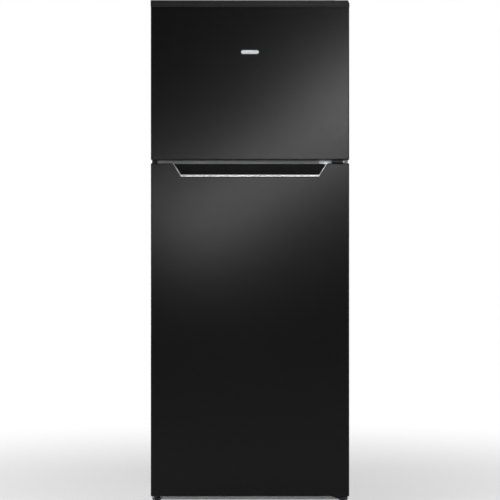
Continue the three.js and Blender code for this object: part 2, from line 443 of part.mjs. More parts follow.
// ================================================================ doors
// Plan outline of a door, drawn in from its outside by d: rounded at the front, chamfered at the back.
function outline(d, half = DOOR_HALF) {
  const x = half - d, y0 = DOOR_FRONT + d, y1 = DOOR_BACK - d, r = SHOULDER - Math.min(d, 3), c = 8 - 0.4 * d;
  const right = [];
  for (let i = 0; i <= 4; i++) { const t = (-90 + (90 * i) / 4) * Math.PI / 180; right.push([x - r + r * Math.cos(t), y0 + r + r * Math.sin(t)]); }
  right.push([x, y1 - c], [x - c, y1]);
  return [...right, ...mirrorX(right)];
}
const skinWrap = (z0, z1) => cut(prism('z', outline(0), z0, z1), prism('z', outline(SHEET), z0 - 1, z1 + 1), box(-322, 322, -292, -280, z0 - 1, z1 + 1));
function doorLiner(z0, z1, d0, d1) {
  // Flange plate, and a hollow raised frame that reaches into the compartment from d0 to d1 high.
  let l = box(-321.6, 321.6, -289, DOOR_BACK, z0, z1);
  l = l.add(cut(box(-290, 290, -288, -255, d0, d1), box(-272, 272, -287, -250, d0 + 18, d1 - 18)));
  l = cut(l, cut(box(-287.5, 287.5, -290, -257.5, d0 + 2.5, d1 - 2.5), box(-274.5, 274.5, -292, -255, d0 + 15.5, d1 - 15.5)));
  // Nothing crosses the channel, so a strip of the plate bridges it behind each corner.
  return add(l, box(-288, 288, -289, DOOR_BACK, (d0 + d1) / 2 - 12, (d0 + d1) / 2 + 12), box(-12, 12, -289, DOOR_BACK, d0 + 1, d1 - 1));
}
const gasket = (z0, z1) => cut(box(-319, 319, -286.7, -277.3, z0, z1), box(-301, 301, -288, -276, z0 + 18, z1 - 18));
function doorBin(z0, z1, back, drop = 0) {
  // Open tray: the wall towards the room inside is lower by drop.
  let b = cut(prism('z', rounded(-269.5, 269.5, -286.6, back, 8, 2), z0, z1), prism('z', rounded(-267, 267, -284, back - 2.5, 6, 2), z0 + 2.5, z1 + 1));
  if (drop) b = cut(b, box(-255, 255, back - 12, back + 1, z1 - drop, z1 + 1));
  return b;
}
const boss = (z0, z1) => cyl('z', PIN_X, PIN_Y, 10, z0, z1, 20);
const bore = (z0, z1) => cyl('z', PIN_X, PIN_Y, BORE_R, z0, z1, 16);

// ---- freezer door
place(freezerDoor, 'freezer_door_skin', skinWrap(GAP_TOP + 2.5, 1749), M.doorSteel);
{
  // Top cap: a shallow tub, lowered at the hinge corner.
  const low = CAB_TOP - 0.5, corner = add(box(285, 352, -352, -280, low, 1780), cyl('z', PIN_X, PIN_Y, 37.2, low, 1780, 48));
  let c = cut(prism('z', outline(0, CAP_HALF), 1749.3, DOOR_TOP), cut(corner, box(270, 302, -352, PIN_Y, low - 1, 1790).subtract(cyl('z', PIN_X, PIN_Y, 37.2, low - 2, 1795, 48))));
  c = cut(c, prism('z', outline(3, CAP_HALF), 1749, low - 2.5), cut(prism('z', outline(3, CAP_HALF), 1749, DOOR_TOP - 2.6), box(281, 352, -352, -280, 1740, 1780)));
  place(freezerDoor, 'freezer_door_top_cap', cut(add(c, boss(1749.5, low - 1)), bore(1751, DOOR_TOP + 1)), M.blackPlastic);
}
{
  // Bottom cap with the hinge bush and a finger recess in the middle of its underside.
  let c = add(prism('z', outline(0), GAP_TOP, GAP_TOP + 2.2), boss(GAP_TOP + 1, 1240), box(-53, 53, -344.5, -316, GAP_TOP + 1, 1231));
  c = cut(c, bore(GAP_TOP - 1, 1236), box(-50, 50, -342, -319, GAP_TOP - 1, 1228.5));
  place(freezerDoor, 'freezer_door_bottom_cap', c, M.blackPlastic);
}
place(freezerDoor, 'freezer_door_liner', doorLiner(1216, 1748, FRZ_LOW + 5, FRZ_HIGH - 5), M.whiteLiner);
{
  let f = prism('z', outline(1.4), 1215, 1748.6);
  f = cut(f, box(-360, 360, -289.4, -280, 1200, 1760), cyl('z', PIN_X, PIN_Y, 10.6, 1200, 1240.6, 20), box(-53.6, 53.6, -349, -315.4, 1200, 1231.6));
  place(freezerDoor, 'freezer_door_foam', f, M.foam);
}
place(freezerDoor, 'freezer_gasket', gasket(1223.5, 1727), M.gasket);
place(freezerDoor, 'freezer_bin_upper', doorBin(1482, 1570, -196), M.clear);
place(freezerDoor, 'freezer_bin_lower', doorBin(1270, 1372, -196), M.clear);
place(freezerDoor, 'badge', prism('y', rounded(-31, 31, 1583, 1597, 6.8, 4), -350, -349.2), M.chrome);

// ---- fridge door
const slope = (PULL_TOP_HALF - PULL_LOW_HALF) / (GAP_LOW - PULL_LOW_Z);
const pull = (z0, z1, d = 0) => { const h = (z) => PULL_LOW_HALF + (z - PULL_LOW_Z) * slope - d; return [[-h(z0), z0], [h(z0), z0], [h(z1), z1], [-h(z1), z1]]; };
place(fridgeDoor, 'fridge_door_skin', cut(skinWrap(DOOR_LOW + 2.5, GAP_LOW - 2.7), prism('y', pull(PULL_LOW_Z, 1202), -352, -340)), M.doorSteel);
{
  // Top cap and pull in one moulding: lid, hinge bush, and a scoop that drops behind the lower lip.
  let c = prism('z', outline(0), GAP_LOW - 2.4, GAP_LOW);
  c = add(c, boss(1172, GAP_LOW - 1), prism('y', pull(1118, GAP_LOW - 1, -2.6), -347.6, -314.5));
  c = cut(c, bore(1175, 1202), prism('y', pull(PULL_LOW_Z, 1202), -352, -317), prism('y', pull(1121, 1151), -343.4, -317));
  place(fridgeDoor, 'fridge_door_top_cap', c, M.blackPlastic);
}
{
  const h = (z) => PULL_LOW_HALF - 0.35 + (z - PULL_LOW_Z) * slope;
  const z0 = PULL_LOW_Z + 0.3, z1 = GAP_LOW - 0.2, zb = 1160, w = 5.5;
  place(fridgeDoor, 'handle_trim', prism('y', [[-h(z1), z1], [-h(z0), z0], [h(z0), z0], [h(z1), z1], [h(z1) - w, z1], [h(zb) - w, zb], [-h(zb) + w, zb], [-h(z1) + w, z1]], -348.8, -344), M.chrome);
}
{
  let c = add(prism('z', outline(0), DOOR_LOW, DOOR_LOW + 2.2), boss(DOOR_LOW + 1, 56));
  place(fridgeDoor, 'fridge_door_bottom_cap', cut(c, bore(DOOR_LOW - 1, 52)), M.blackPlastic);
}
place(fridgeDoor, 'fridge_door_liner', doorLiner(31, 1194, FRG_LOW + 5, FRG_HIGH - 4), M.whiteLiner);
{
  let f = prism('z', outline(1.4), 30.4, 1195.6);
  f = cut(f, box(-360, 360, -289.4, -280, 0, 1260), cyl('z', PIN_X, PIN_Y, 10.6, 1171.4, 1200, 20), cyl('z', PIN_X, PIN_Y, 10.6, 20, 56.6, 20), prism('y', pull(1117.4, 1202, -3.4), -352, -313.9));
  place(fridgeDoor, 'fridge_door_foam', f, M.foam);
}
place(fridgeDoor, 'fridge_gasket', gasket(72, 1187), M.gasket);
place(fridgeDoor, 'door_bin_upper', doorBin(870, 954, -192), M.clear);
place(fridgeDoor, 'door_bin_lower', doorBin(540, 630, -192), M.clear);
place(fridgeDoor, 'bottle_bin', doorBin(122, 252, -172), M.clear);

export default refrigerator;
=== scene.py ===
import bpy
import bmesh
import json
import math
from mathutils import Matrix, Vector

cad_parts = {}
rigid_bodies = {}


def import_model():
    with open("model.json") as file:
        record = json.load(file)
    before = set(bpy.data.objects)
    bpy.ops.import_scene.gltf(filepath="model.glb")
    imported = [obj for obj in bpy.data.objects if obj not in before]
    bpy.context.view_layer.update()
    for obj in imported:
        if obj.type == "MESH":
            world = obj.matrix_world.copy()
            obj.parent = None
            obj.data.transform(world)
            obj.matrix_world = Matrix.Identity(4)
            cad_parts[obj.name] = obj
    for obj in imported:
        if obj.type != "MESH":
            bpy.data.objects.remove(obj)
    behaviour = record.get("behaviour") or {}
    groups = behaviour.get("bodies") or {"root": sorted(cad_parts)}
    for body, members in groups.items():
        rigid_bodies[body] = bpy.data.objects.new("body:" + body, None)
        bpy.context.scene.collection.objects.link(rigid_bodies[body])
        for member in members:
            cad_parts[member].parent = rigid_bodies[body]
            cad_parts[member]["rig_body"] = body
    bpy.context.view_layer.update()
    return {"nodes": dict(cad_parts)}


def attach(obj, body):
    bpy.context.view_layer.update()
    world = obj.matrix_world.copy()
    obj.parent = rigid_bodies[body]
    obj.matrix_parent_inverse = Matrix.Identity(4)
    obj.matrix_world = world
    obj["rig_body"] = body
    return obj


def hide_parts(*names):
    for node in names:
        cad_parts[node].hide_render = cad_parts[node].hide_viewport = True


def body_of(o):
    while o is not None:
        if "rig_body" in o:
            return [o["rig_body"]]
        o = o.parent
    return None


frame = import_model()
NODES = frame["nodes"]

# Every length below is in millimetres in the working frame of the drawing, whose y is 9.5 mm off the row frame.
SY, MM = 9.5, 0.001


def W(x, y, z):
    return Vector((x * MM, (y + SY) * MM, z * MM))


# ------------------------------------------------------------------ materials
def nt_new(name):
    m = bpy.data.materials.new(name)
    m.use_nodes = True
    nt = m.node_tree
    for n in list(nt.nodes):
        nt.nodes.remove(n)
    out = nt.nodes.new("ShaderNodeOutputMaterial")
    bsdf = nt.nodes.new("ShaderNodeBsdfPrincipled")
    nt.links.new(bsdf.outputs["BSDF"], out.inputs["Surface"])
    return m, nt, bsdf


def material(name, base, rough, metal=0.0, alpha=1.0, var=0.05, scale=25.0, bump=0.05, grain=900.0, rvar=0.06,
             ior=1.45, coat=0.0, coat_rough=0.1, peel=0.0, stretch=None, spangle=0.0, speck=0.0, transmission=0.0, emit=0.0, sss=0.0):
    m, nt, b = nt_new(name)
    N, L = nt.nodes.new, nt.links.new
    tc = N("ShaderNodeTexCoord")
    src = tc.outputs["Object"]
    if stretch:
        mp = N("ShaderNodeMapping")
        mp.inputs["Scale"].default_value = stretch
        L(src, mp.inputs["Vector"])
        fine_src = mp.outputs["Vector"]
    else:
        fine_src = src
    # Slow drift of tone.
    n1 = N("ShaderNodeTexNoise")
    n1.inputs["Scale"].default_value = scale
    n1.inputs["Detail"].default_value = 6
    n1.inputs["Roughness"].default_value = 0.62
    L(src, n1.inputs["Vector"])
    ramp = N("ShaderNodeValToRGB")
    ramp.color_ramp.elements[0].position = 0.3
    ramp.color_ramp.elements[1].position = 0.7
    d = [max(0.0, c * (1 - var)) for c in base]
    u = [min(1.0, c * (1 + var)) for c in base]
    ramp.color_ramp.elements[0].color = (*d, 1)
    ramp.color_ramp.elements[1].color = (*u, 1)
    L(n1.outputs["Fac"], ramp.inputs["Fac"])
    colour = ramp.outputs["Color"]
    # Fine grain, shared by roughness and relief.
    n2 = N("ShaderNodeTexNoise")
    n2.inputs["Scale"].default_value = grain
    n2.inputs["Detail"].default_value = 4
    n2.inputs["Roughness"].default_value = 0.6
    L(fine_src, n2.inputs["Vector"])
    height = n2.outputs["Fac"]
    if spangle:
        v = N("ShaderNodeTexVoronoi")
        v.inputs["Scale"].default_value = 140.0
        L(src, v.inputs["Vector"])
        hs = N("ShaderNodeSeparateColor")
        L(v.outputs["Color"], hs.inputs["Color"])
        mr = N("ShaderNodeMapRange")
        mr.inputs["To Min"].default_value = 1 - spangle
        mr.inputs["To Max"].default_value = 1 + spangle
        L(hs.outputs["Red"], mr.inputs["Value"])
        mul = N("ShaderNodeMix")
        mul.data_type = "RGBA"
        mul.blend_type = "MULTIPLY"
        mul.inputs["Factor"].default_value = 1.0
        cmb = N("ShaderNodeCombineColor")
        for k in ("Red", "Green", "Blue"):
            L(mr.outputs["Result"], cmb.inputs[k])
        L(colour, mul.inputs["A"])
        L(cmb.outputs["Color"], mul.inputs["B"])
        colour = mul.outputs["Result"]
    if speck:
        mix = N("ShaderNodeMix")
        mix.data_type = "RGBA"
        mix.blend_type = "OVERLAY"
        mix.inputs["Factor"].default_value = speck
        L(colour, mix.inputs["A"])
        L(n2.outputs["Color"], mix.inputs["B"])
        colour = mix.outputs["Result"]
    L(colour, b.inputs["Base Color"])
    rr = N("ShaderNodeMapRange")
    rr.inputs["From Min"].default_value = 0.3
    rr.inputs["From Max"].default_value = 0.7
    rr.inputs["To Min"].default_value = max(0.02, rough - rvar)
    rr.inputs["To Max"].default_value = min(1.0, rough + rvar)
    n3 = N("ShaderNodeTexNoise")
    n3.inputs["Scale"].default_value = scale * 2.3
    n3.inputs["Detail"].default_value = 8
    L(fine_src, n3.inputs["Vector"])
    L(n3.outputs["Fac"], rr.inputs["Value"])
    L(rr.outputs["Result"], b.inputs["Roughness"])
    bm1 = N("ShaderNodeBump")
    bm1.inputs["Strength"].default_value = bump
    bm1.inputs["Distance"].default_value = 0.0004
    L(height, bm1.inputs["Height"])
    if peel:
        n4 = N("ShaderNodeTexNoise")
        n4.inputs["Scale"].default_value = 160.0
        n4.inputs["Detail"].default_value = 2
        L(src, n4.inputs["Vector"])
        bm2 = N("ShaderNodeBump")
        bm2.inputs["Strength"].default_value = peel
        bm2.inputs["Distance"].default_value = 0.001
        L(n4.outputs["Fac"], bm2.inputs["Height"])
        L(bm2.outputs["Normal"], bm1.inputs["Normal"])
    L(bm1.outputs["Normal"], b.inputs["Normal"])
    b.inputs["Metallic"].default_value = metal
    b.inputs["IOR"].default_value = ior
    b.inputs["Alpha"].default_value = alpha
    b.inputs["Coat Weight"].default_value = coat
    b.inputs["Coat Roughness"].default_value = coat_rough
    b.inputs["Transmission Weight"].default_value = transmission
    if emit:
        b.inputs["Emission Color"].default_value = (*base, 1)
        b.inputs["Emission Strength"].default_value = emit
    if sss:
        b.inputs["Subsurface Weight"].default_value = sss
        b.inputs["Subsurface Radius"].default_value = (0.01, 0.01, 0.01)
    return m


MAT = {
    "door": material("door_black_satin", (0.0034, 0.0035, 0.0038), 0.18, ior=1.29, var=0.06, scale=9, bump=0.03, grain=1500, rvar=0.007, peel=0.002),
    "door_cap": material("cap_black_grain", (0.0075, 0.0075, 0.0076), 0.33, ior=1.36, var=0.08, bump=0.22, grain=2600, rvar=0.05),
    "pull": material("pull_black_satin", (0.0035, 0.0035, 0.0037), 0.46, ior=1.26, var=0.08, bump=0.15, grain=2200, rvar=0.05),
    "black": material("plastic_black_grain", (0.018, 0.018, 0.019), 0.52, var=0.1, bump=0.3, grain=2400, rvar=0.07),
    "paint": material("silver_grey_paint", (0.40, 0.405, 0.41), 0.36, metal=0.25, var=0.03, scale=6, bump=0.08, grain=1800, rvar=0.02, speck=0.03),
    "galv": material("galvanised_sheet", (0.50, 0.51, 0.52), 0.42, metal=0.85, var=0.05, scale=12, bump=0.06, grain=900, rvar=0.06, spangle=0.05),
    # Base rail: zinc colour raised well above the cabinet grey to make up for the door's shade over it, painted light.
    "rail": material("zinc_rail_painted_lift", (0.74, 0.75, 0.76), 0.38, metal=0.35, var=0.04, scale=14, bump=0.08, grain=900, rvar=0.06, spangle=0.05),
    "chrome": material("bright_chrome", (0.80, 0.81, 0.82), 0.11, metal=1.0, var=0.02, scale=18, bump=0.02, grain=1200, rvar=0.04),
    "satin": material("satin_silver", (0.62, 0.63, 0.64), 0.30, metal=1.0, var=0.03, scale=30, bump=0.08, grain=900, stretch=(1, 1, 14), rvar=0.05),
    "zinc": material("zinc_plate", (0.60, 0.61, 0.62), 0.34, metal=0.95, var=0.07, scale=40, bump=0.12, grain=700, rvar=0.09, spangle=0.07),
    "liner": material("white_liner_plastic", (0.83, 0.845, 0.85), 0.34, ior=1.5, var=0.010, scale=8, bump=0.02, grain=1400, rvar=0.03),
    "white": material("white_plastic_matt", (0.80, 0.815, 0.82), 0.42, var=0.015, scale=12, bump=0.15, grain=2200, rvar=0.06),
    # Foam is coloured near black so that foam showing at seams between liners and skins reads as a shadow gap: painted
    # shade.
    "foam": material("foam_near_black_painted_seam_shade", (0.030, 0.030, 0.031), 0.9, var=0.12, scale=60, bump=0.9, grain=420, rvar=0.05),
    "gasket": material("gasket_soft_grey", (0.10, 0.102, 0.105), 0.62, var=0.06, scale=40, bump=0.15, grain=1600, rvar=0.08),
    "clear": material("clear_styrene", (0.86, 0.91, 0.93), 0.07, ior=1.5, alpha=0.19, var=0.02, scale=20, bump=0.03, grain=900, rvar=0.03),
    "frost": material("frosted_styrene", (0.86, 0.90, 0.92), 0.28, ior=1.5, alpha=0.46, var=0.006, scale=20, bump=0.35, grain=1900, rvar=0.06),
    "glass": material("shelf_float_glass", (0.70, 0.88, 0.82), 0.03, ior=1.5, alpha=0.24, var=0.02, scale=10, bump=0.0, grain=400, rvar=0.01),
    "glass_edge": material("shelf_glass_edge", (0.25, 0.52, 0.42), 0.12, ior=1.5, alpha=0.75, var=0.04, scale=30, bump=0.05, grain=900, rvar=0.04),
    "grey": material("grey_plastic_matt", (0.46, 0.48, 0.50), 0.46, var=0.03, scale=20, bump=0.22, grain=2200, rvar=0.06),
    "enamel": material("black_enamel", (0.012, 0.012, 0.013), 0.27, ior=1.5, var=0.15, scale=30, bump=0.1, grain=500, rvar=0.08, coat=0.3, coat_rough=0.15, peel=0.04),
    "copper": material("copper_tube", (0.72, 0.34, 0.20), 0.30, metal=1.0, var=0.18, scale=60, bump=0.08, grain=700, rvar=0.10),
    "alu": material("aluminium_sheet", (0.77, 0.78, 0.79), 0.32, metal=1.0, var=0.04, scale=30, bump=0.12, grain=900, stretch=(1, 12, 1), rvar=0.07),
    "lens": material("milky_lens", (0.90, 0.90, 0.88), 0.35, var=0.01, scale=20, bump=0.2, grain=1500, rvar=0.05, emit=0.12),
    "rubber": material("black_rubber", (0.016, 0.016, 0.016), 0.75, var=0.15, scale=60, bump=0.4, grain=1300, rvar=0.08),
}


# ------------------------------------------------------------------ shapes: each is (points, faces) in millimetres
def join(*shapes):
    pts, faces = [], []
    for p, f in shapes:
        k = len(pts)
        pts += [tuple(v) for v in p]
        faces += [tuple(i + k for i in face) for face in f]
    return pts, faces


def loops(rows, caps=True, wrap=False):
    n = len(rows[0])
    pts = [p for r in rows for p in r]
    faces = []
    m = len(rows)
    for i in range(m if wrap else m - 1):
        a, b = i * n, ((i + 1) % m) * n
        for j in range(n):
            k = (j + 1) % n
            faces.append((a + j, a + k, b + k, b + j))
    if caps and not wrap:
        faces.append(tuple(range(n - 1, -1, -1)))
        faces.append(tuple((m - 1) * n + j for j in range(n)))
    return pts, faces


def rrect(x0, x1, y0, y1, r, seg=5):
    rs = r if isinstance(r, (tuple, list)) else (r, r, r, r)
    out = []
    for (cx, cy, a), rr in zip(((x1, y1, 0), (x0, y1, 90), (x0, y0, 180), (x1, y0, 270)), rs):
        rr = max(rr, 0.05)
        px = cx - rr if cx == x1 else cx + rr
        py = cy - rr if cy == y1 else cy + rr
        for i in range(seg + 1):
            t = math.radians(a + 90 * i / seg)
            out.append((px + rr * math.cos(t), py + rr * math.sin(t)))
    return out


def to3(axis, a, b, w):
    return {"x": (w, a, b), "y": (a, w, b), "z": (a, b, w)}[axis]


def prism(axis, pts, a0, a1):
    return loops([[to3(axis, u, v, a0) for u, v in pts], [to3(axis, u, v, a1) for u, v in pts]])


def stack(axis, rows):
    """rows of (2-D points, height) joined into one closed shape."""
    return loops([[to3(axis, u, v, w) for u, v in pts] for pts, w in rows])


def box(x0, x1, y0, y1, z0, z1):
    return prism("z", [(x0, y0), (x1, y0), (x1, y1), (x0, y1)], z0, z1)


def soft_box(axis, u0, u1, v0, v1, w0, w1, r, e=1.0, seg=4):
    """A slab with rounded corners in plan and eased rims."""
    rows = []
    for k in range(3):
        t = math.radians(90 * k / 2)
        rows.append((e * (1 - math.sin(t)), w0 + e * (1 - math.cos(t))))
    for k in range(3):
        t = math.radians(90 * (2 - k) / 2)
        rows.append((e * (1 - math.sin(t)), w1 - e * (1 - math.cos(t))))
    return stack(axis, [(rrect(u0 + d, u1 - d, v0 + d, v1 - d, max(r - d, 0.2), seg), w) for d, w in rows])


def lathe(profile, axis, c0, c1, seg=32, sx=1.0, sy=1.0):
    """profile of (radius, height along the axis); a radius of 0 closes the end."""
    pts, faces, rows = [], [], []
    for r, h in profile:
        if r < 1e-6:
            rows.append([len(pts)])
            pts.append(to3(axis, c0, c1, h))
        else:
            row = []
            for i in range(seg):
                t = 2 * math.pi * i / seg
                row.append(len(pts))
                pts.append(to3(axis, c0 + sx * r * math.cos(t), c1 + sy * r * math.sin(t), h))
            rows.append(row)
    for a, b in zip(rows, rows[1:]):
        for i in range(seg):
            k = (i + 1) % seg
            if len(a) == 1 and len(b) == 1:
                continue
            if len(a) == 1:
                faces.append((a[0], b[k], b[i]))
            elif len(b) == 1:
                faces.append((a[i], a[k], b[0]))
            else:
                faces.append((a[i], a[k], b[k], b[i]))
    for end, rev in ((rows[0], True), (rows[-1], False)):
        if len(end) > 1 and rows[0] is not rows[-1]:
            if not (len(profile) > 2 and profile[0] == profile[-1]):
                faces.append(tuple(reversed(end)) if rev else tuple(end))
    return pts, faces


def ring_lathe(profile, axis, c0, c1, seg=32):
    """A closed profile that stays off the axis, such as a washer or a tyre."""
    rows = []
    for i in range(seg):
        t = 2 * math.pi * i / seg
        rows.append([to3(axis, c0 + r * math.cos(t), c1 + r * math.sin(t), h) for r, h in profile])
    return loops(rows, caps=False, wrap=True)


def round_path(points, radius, seg=6):
    """Corners of a polyline turned into arcs."""
    pts = [Vector(p) for p in points]
    out = [pts[0]]
    for a, p, b in zip(pts, pts[1:], pts[2:]):
        u, v = (a - p).normalized(), (b - p).normalized()
        ang = u.angle(v)
        if ang > math.pi - 0.01:
            out.append(p)
            continue
        cut = min(radius / math.tan(ang / 2), (a - p).length * 0.49, (b - p).length * 0.49)
        rr = cut * math.tan(ang / 2)
        centre = p + (u + v).normalized() * (rr / math.sin(ang / 2))
        s, e = p + u * cut - centre, p + v * cut - centre
        axis = s.cross(e).normalized()
        sweep = math.pi - ang
        for i in range(seg + 1):
            out.append(centre + Matrix.Rotation(sweep * i / seg, 3, axis) @ s)
    out.append(pts[-1])
    return out


def tube(points, r, sides=10, bend=8.0, seg=6):
    path = round_path(points, bend, seg)
    path = [p for i, p in enumerate(path) if not i or (p - path[i - 1]).length > 1e-3]
    dirs = [(b - a).normalized() for a, b in zip(path, path[1:])]
    u = Vector((0, 0, 1))
    if abs(u.dot(dirs[0])) > 0.9:
        u = Vector((1, 0, 0))
    u = (u - dirs[0] * u.dot(dirs[0])).normalized()
    rows = []
    for i, p in enumerate(path):
        a, b = dirs[max(0, i - 1)], dirs[min(len(dirs) - 1, i)]
        if a.angle(b) > 1e-5:
            u = a.rotation_difference(b) @ u
        n = (a + b).normalized()
        w = b.cross(u)
        k = max(0.3, n.dot(b))
        row = []
        for j in range(sides):
            t = 2 * math.pi * j / sides
            q = u * (r * math.cos(t)) + w * (r * math.sin(t))
            q = q - b * (q.dot(n) / k)
            row.append(tuple(p + q))
        rows.append(row)
    return loops(rows)


def moved(shape, dx=0, dy=0, dz=0):
    return [(x + dx, y + dy, z + dz) for x, y, z in shape[0]], shape[1]


def flipped(shape):
    """Mirrored in x."""
    return [(-x, y, z) for x, y, z in shape[0]], [tuple(reversed(f)) for f in shape[1]]


# ------------------------------------------------------------------ pieces
def finish_piece(o, body, nodes, mat, angle=32):
    me = o.data
    me.materials.clear()
    me.materials.append(mat)
    for p in me.polygons:
        p.use_smooth = True
        p.material_index = 0
    me.set_sharp_from_angle(angle=math.radians(angle))
    wn = o.modifiers.new("normals", "WEIGHTED_NORMAL")
    wn.keep_sharp = True
    wn.weight = 60
    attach(o, body)
    if nodes:
        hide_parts(*nodes)
    return o


def piece(name, shape, mat, body, nodes=(), bevel=0.0, seg=2, pick=50, angle=32):
    pts, faces = shape
    me = bpy.data.meshes.new(name)
    me.from_pydata([tuple(W(*p)) for p in pts], [], faces)
    bm = bmesh.new()
    bm.from_mesh(me)
    bmesh.ops.recalc_face_normals(bm, faces=bm.faces)
    if bevel:
        sharp = [e for e in bm.edges if len(e.link_faces) == 2 and e.calc_face_angle(0) > math.radians(pick)]
        bmesh.ops.bevel(bm, geom=sharp, offset=bevel * MM, segments=seg, profile=0.5, affect="EDGES", clamp_overlap=False)
    bm.to_mesh(me)
    bm.free()
    o = bpy.data.objects.new(name, me)
    bpy.context.scene.collection.objects.link(o)
    return finish_piece(o, body, nodes, MAT[mat], angle)


def refine(node, mat, bevel=0.5, seg=2, pick=40, angle=32, only=None, name=None):
    """A copy of a CAD node with its flat faces merged and its edges eased, shown in place of the node."""
    src = NODES[node]
    bm = bmesh.new()
    bm.from_mesh(src.data)
    bmesh.ops.remove_doubles(bm, verts=bm.verts, dist=1e-6)
    bmesh.ops.dissolve_limit(bm, angle_limit=math.radians(0.6), verts=bm.verts, edges=bm.edges, delimit=set())
    bmesh.ops.recalc_face_normals(bm, faces=bm.faces)
    if bevel:
        groups = only or [(bevel, seg, lambda a, b: True)]
        for width, segments, test in groups:
            sharp = []
            for e in bm.edges:
                if len(e.link_faces) != 2 or e.calc_face_angle(0) < math.radians(pick):
                    continue
                a, b = [((v.co.x) * 1000, (v.co.y) * 1000 - SY, v.co.z * 1000) for v in e.verts]
                if test(a, b):
                    sharp.append(e)
            if sharp:
                bmesh.ops.bevel(bm, geom=sharp, offset=width * MM, segments=segments, profile=0.5, affect="EDGES", clamp_overlap=False)
    me = bpy.data.meshes.new(name or node + "_v")
    bm.to_mesh(me)
    bm.free()
    o = bpy.data.objects.new(name or node + "_v", me)
    bpy.context.scene.collection.objects.link(o)
    return finish_piece(o, body_of(src)[0], [node], MAT[mat], angle)


def keep(node, mat, slot=None):
    """A CAD node whose own shape is shown."""
    o = NODES[node]
    o.data.materials.clear()
    o.data.materials.append(MAT[mat])
    for p in o.data.polygons:
        p.use_smooth = False


def screw_shape(axis, c0, c1, h0, sign, r=4.0):
    """Hexagon head with a washer flange, standing on a face at h0."""
    s = sign
    flange = lathe([(r * 1.35, h0), (r * 1.35, h0 + s * 0.5), (r * 1.05, h0 + s * 0.9)], axis, c0, c1, 20)
    hexa = [(r * 0.95 * math.cos(math.radians(60 * i)), r * 0.95 * math.sin(math.radians(60 * i))) for i in range(6)]
    rows = []
    for k, h in ((1.0, h0 + s * 0.8), (1.0, h0 + s * 2.5), (0.86, h0 + s * 2.9)):
        rows.append([to3(axis, c0 + k * a, c1 + k * b, h) for a, b in hexa])
    head = loops(rows)
    dimple = [to3(axis, c0 + 0.55 * a, c1 + 0.55 * b, h0 + s * 2.9) for a, b in hexa]
    return join(flange, head) if dimple else head


# ================================================================== doors
FD, RD, CB = "freezer_door", "fridge_door", "cabinet"


def door_outline(d=0.0, half=349.2, seg=8):
    x, y0, y1, r, c = half - d, -349 + d, -287 - d, 4.5 - min(d, 3), 8 - 0.4 * d
    right = []
    for i in range(seg + 1):
        t = math.radians(-90 + 90 * i / seg)
        right.append((x - r + r * math.cos(t), y0 + r + r * math.sin(t)))
    right += [(x, y1 - c), (x - c, y1)]
    return right + [(-a, b) for a, b in reversed(right)]


refine("freezer_door_skin", "door", 0.45, 2)
# Door foams in the near-black foam colour, which paints shade into the seams where foam shows.
keep("freezer_door_foam", "foam")
refine("freezer_door_top_cap", "door_cap", 0.9, 3)
refine("freezer_door_bottom_cap", "door_cap", 0.6, 2)
refine("fridge_door_skin", "door", 0.45, 2)
refine("fridge_door_bottom_cap", "door_cap", 0.6, 2)
keep("fridge_door_foam", "foam")


# Pull of the lower door: top cap and a scoop with a swept floor.
def pull_pts(z, d=0.0):
    return 242 + (z - 1149) * 31 / 49.5 - d


refine("fridge_door_top_cap", "pull", 0.8, 3)
# Swept inner shell of the scoop.
rows = []
prof = [(-343.1, 1150.0), (-343.1, 1128), (-341, 1124), (-336, 1122), (-328, 1122.4), (-321.5, 1126.5), (-318, 1135), (-317.2, 1150), (-317.2, 1194)]
back = [(-316.8, 1194), (-316.8, 1121.1), (-343.35, 1121.1), (-343.35, 1150)]
outline_yz = prof + back
for side in (-1, 1):
    rows.append([(side * (pull_pts(max(z, 1121)) - 0.3), y, z) for y, z in outline_yz])
piece("pull_scoop_inner", loops(rows), "pull", RD, angle=40)
# Fine horizontal grip ribs on the back wall of the scoop.
ribs = []
for i in range(5):
    z = 1150 + i * 7
    h = pull_pts(z) - 18
    ribs.append(soft_box("y", -h, h, z, z + 1.6, -318.4, -316.9, 0.7, 0.4, 2))
piece("pull_ribs", join(*ribs), "pull", RD)


# Bright trim round the pull, with a crowned section.
def trim_shape():
    z0, z1, zb, w = 1149.3, 1198.3, 1160.0, 5.5
    path_o = [(-(pull_pts(z1, 0.35)), z1), (-(pull_pts(z0, 0.35)), z0), (pull_pts(z0, 0.35), z0), (pull_pts(z1, 0.35), z1)]
    path_i = [(-(pull_pts(z1, 0.35) - w), z1), (-(pull_pts(zb, 0.35) - w), zb), (pull_pts(zb, 0.35) - w, zb), (pull_pts(z1, 0.35) - w, z1)]
    n = 9
    rows = []
    for k in range(4):
        (xo, zo), (xi, zi) = path_o[k], path_i[k]
        row = []
        for i in range(n):
            t = i / (n - 1)
            y = -345.2 - 3.5 * (1 - (2 * t - 1) ** 2) ** 0.5
            row.append((xo + (xi - xo) * t, y, zo + (zi - zo) * t))
        row += [(xi, -344.0, zi), (xo, -344.0, zo)]
        rows.append(row)
    return loops(rows)


piece("handle_trim_v", trim_shape(), "chrome", RD, ["handle_trim"], angle=50)

# Blank badge plate: a pill with a bevelled rim.
rows = []
for d, y in ((0, -349.15), (0, -349.6), (0.5, -349.95), (1.6, -350.0), (2.2, -349.75), (2.8, -349.75)):
    rows.append((rrect(-31 + d, 31 - d, 1583 + d, 1597 - d, 6.8 - d, 8), y))
piece("badge_v", stack("y", rows), "satin", FD, ["badge"], angle=50)


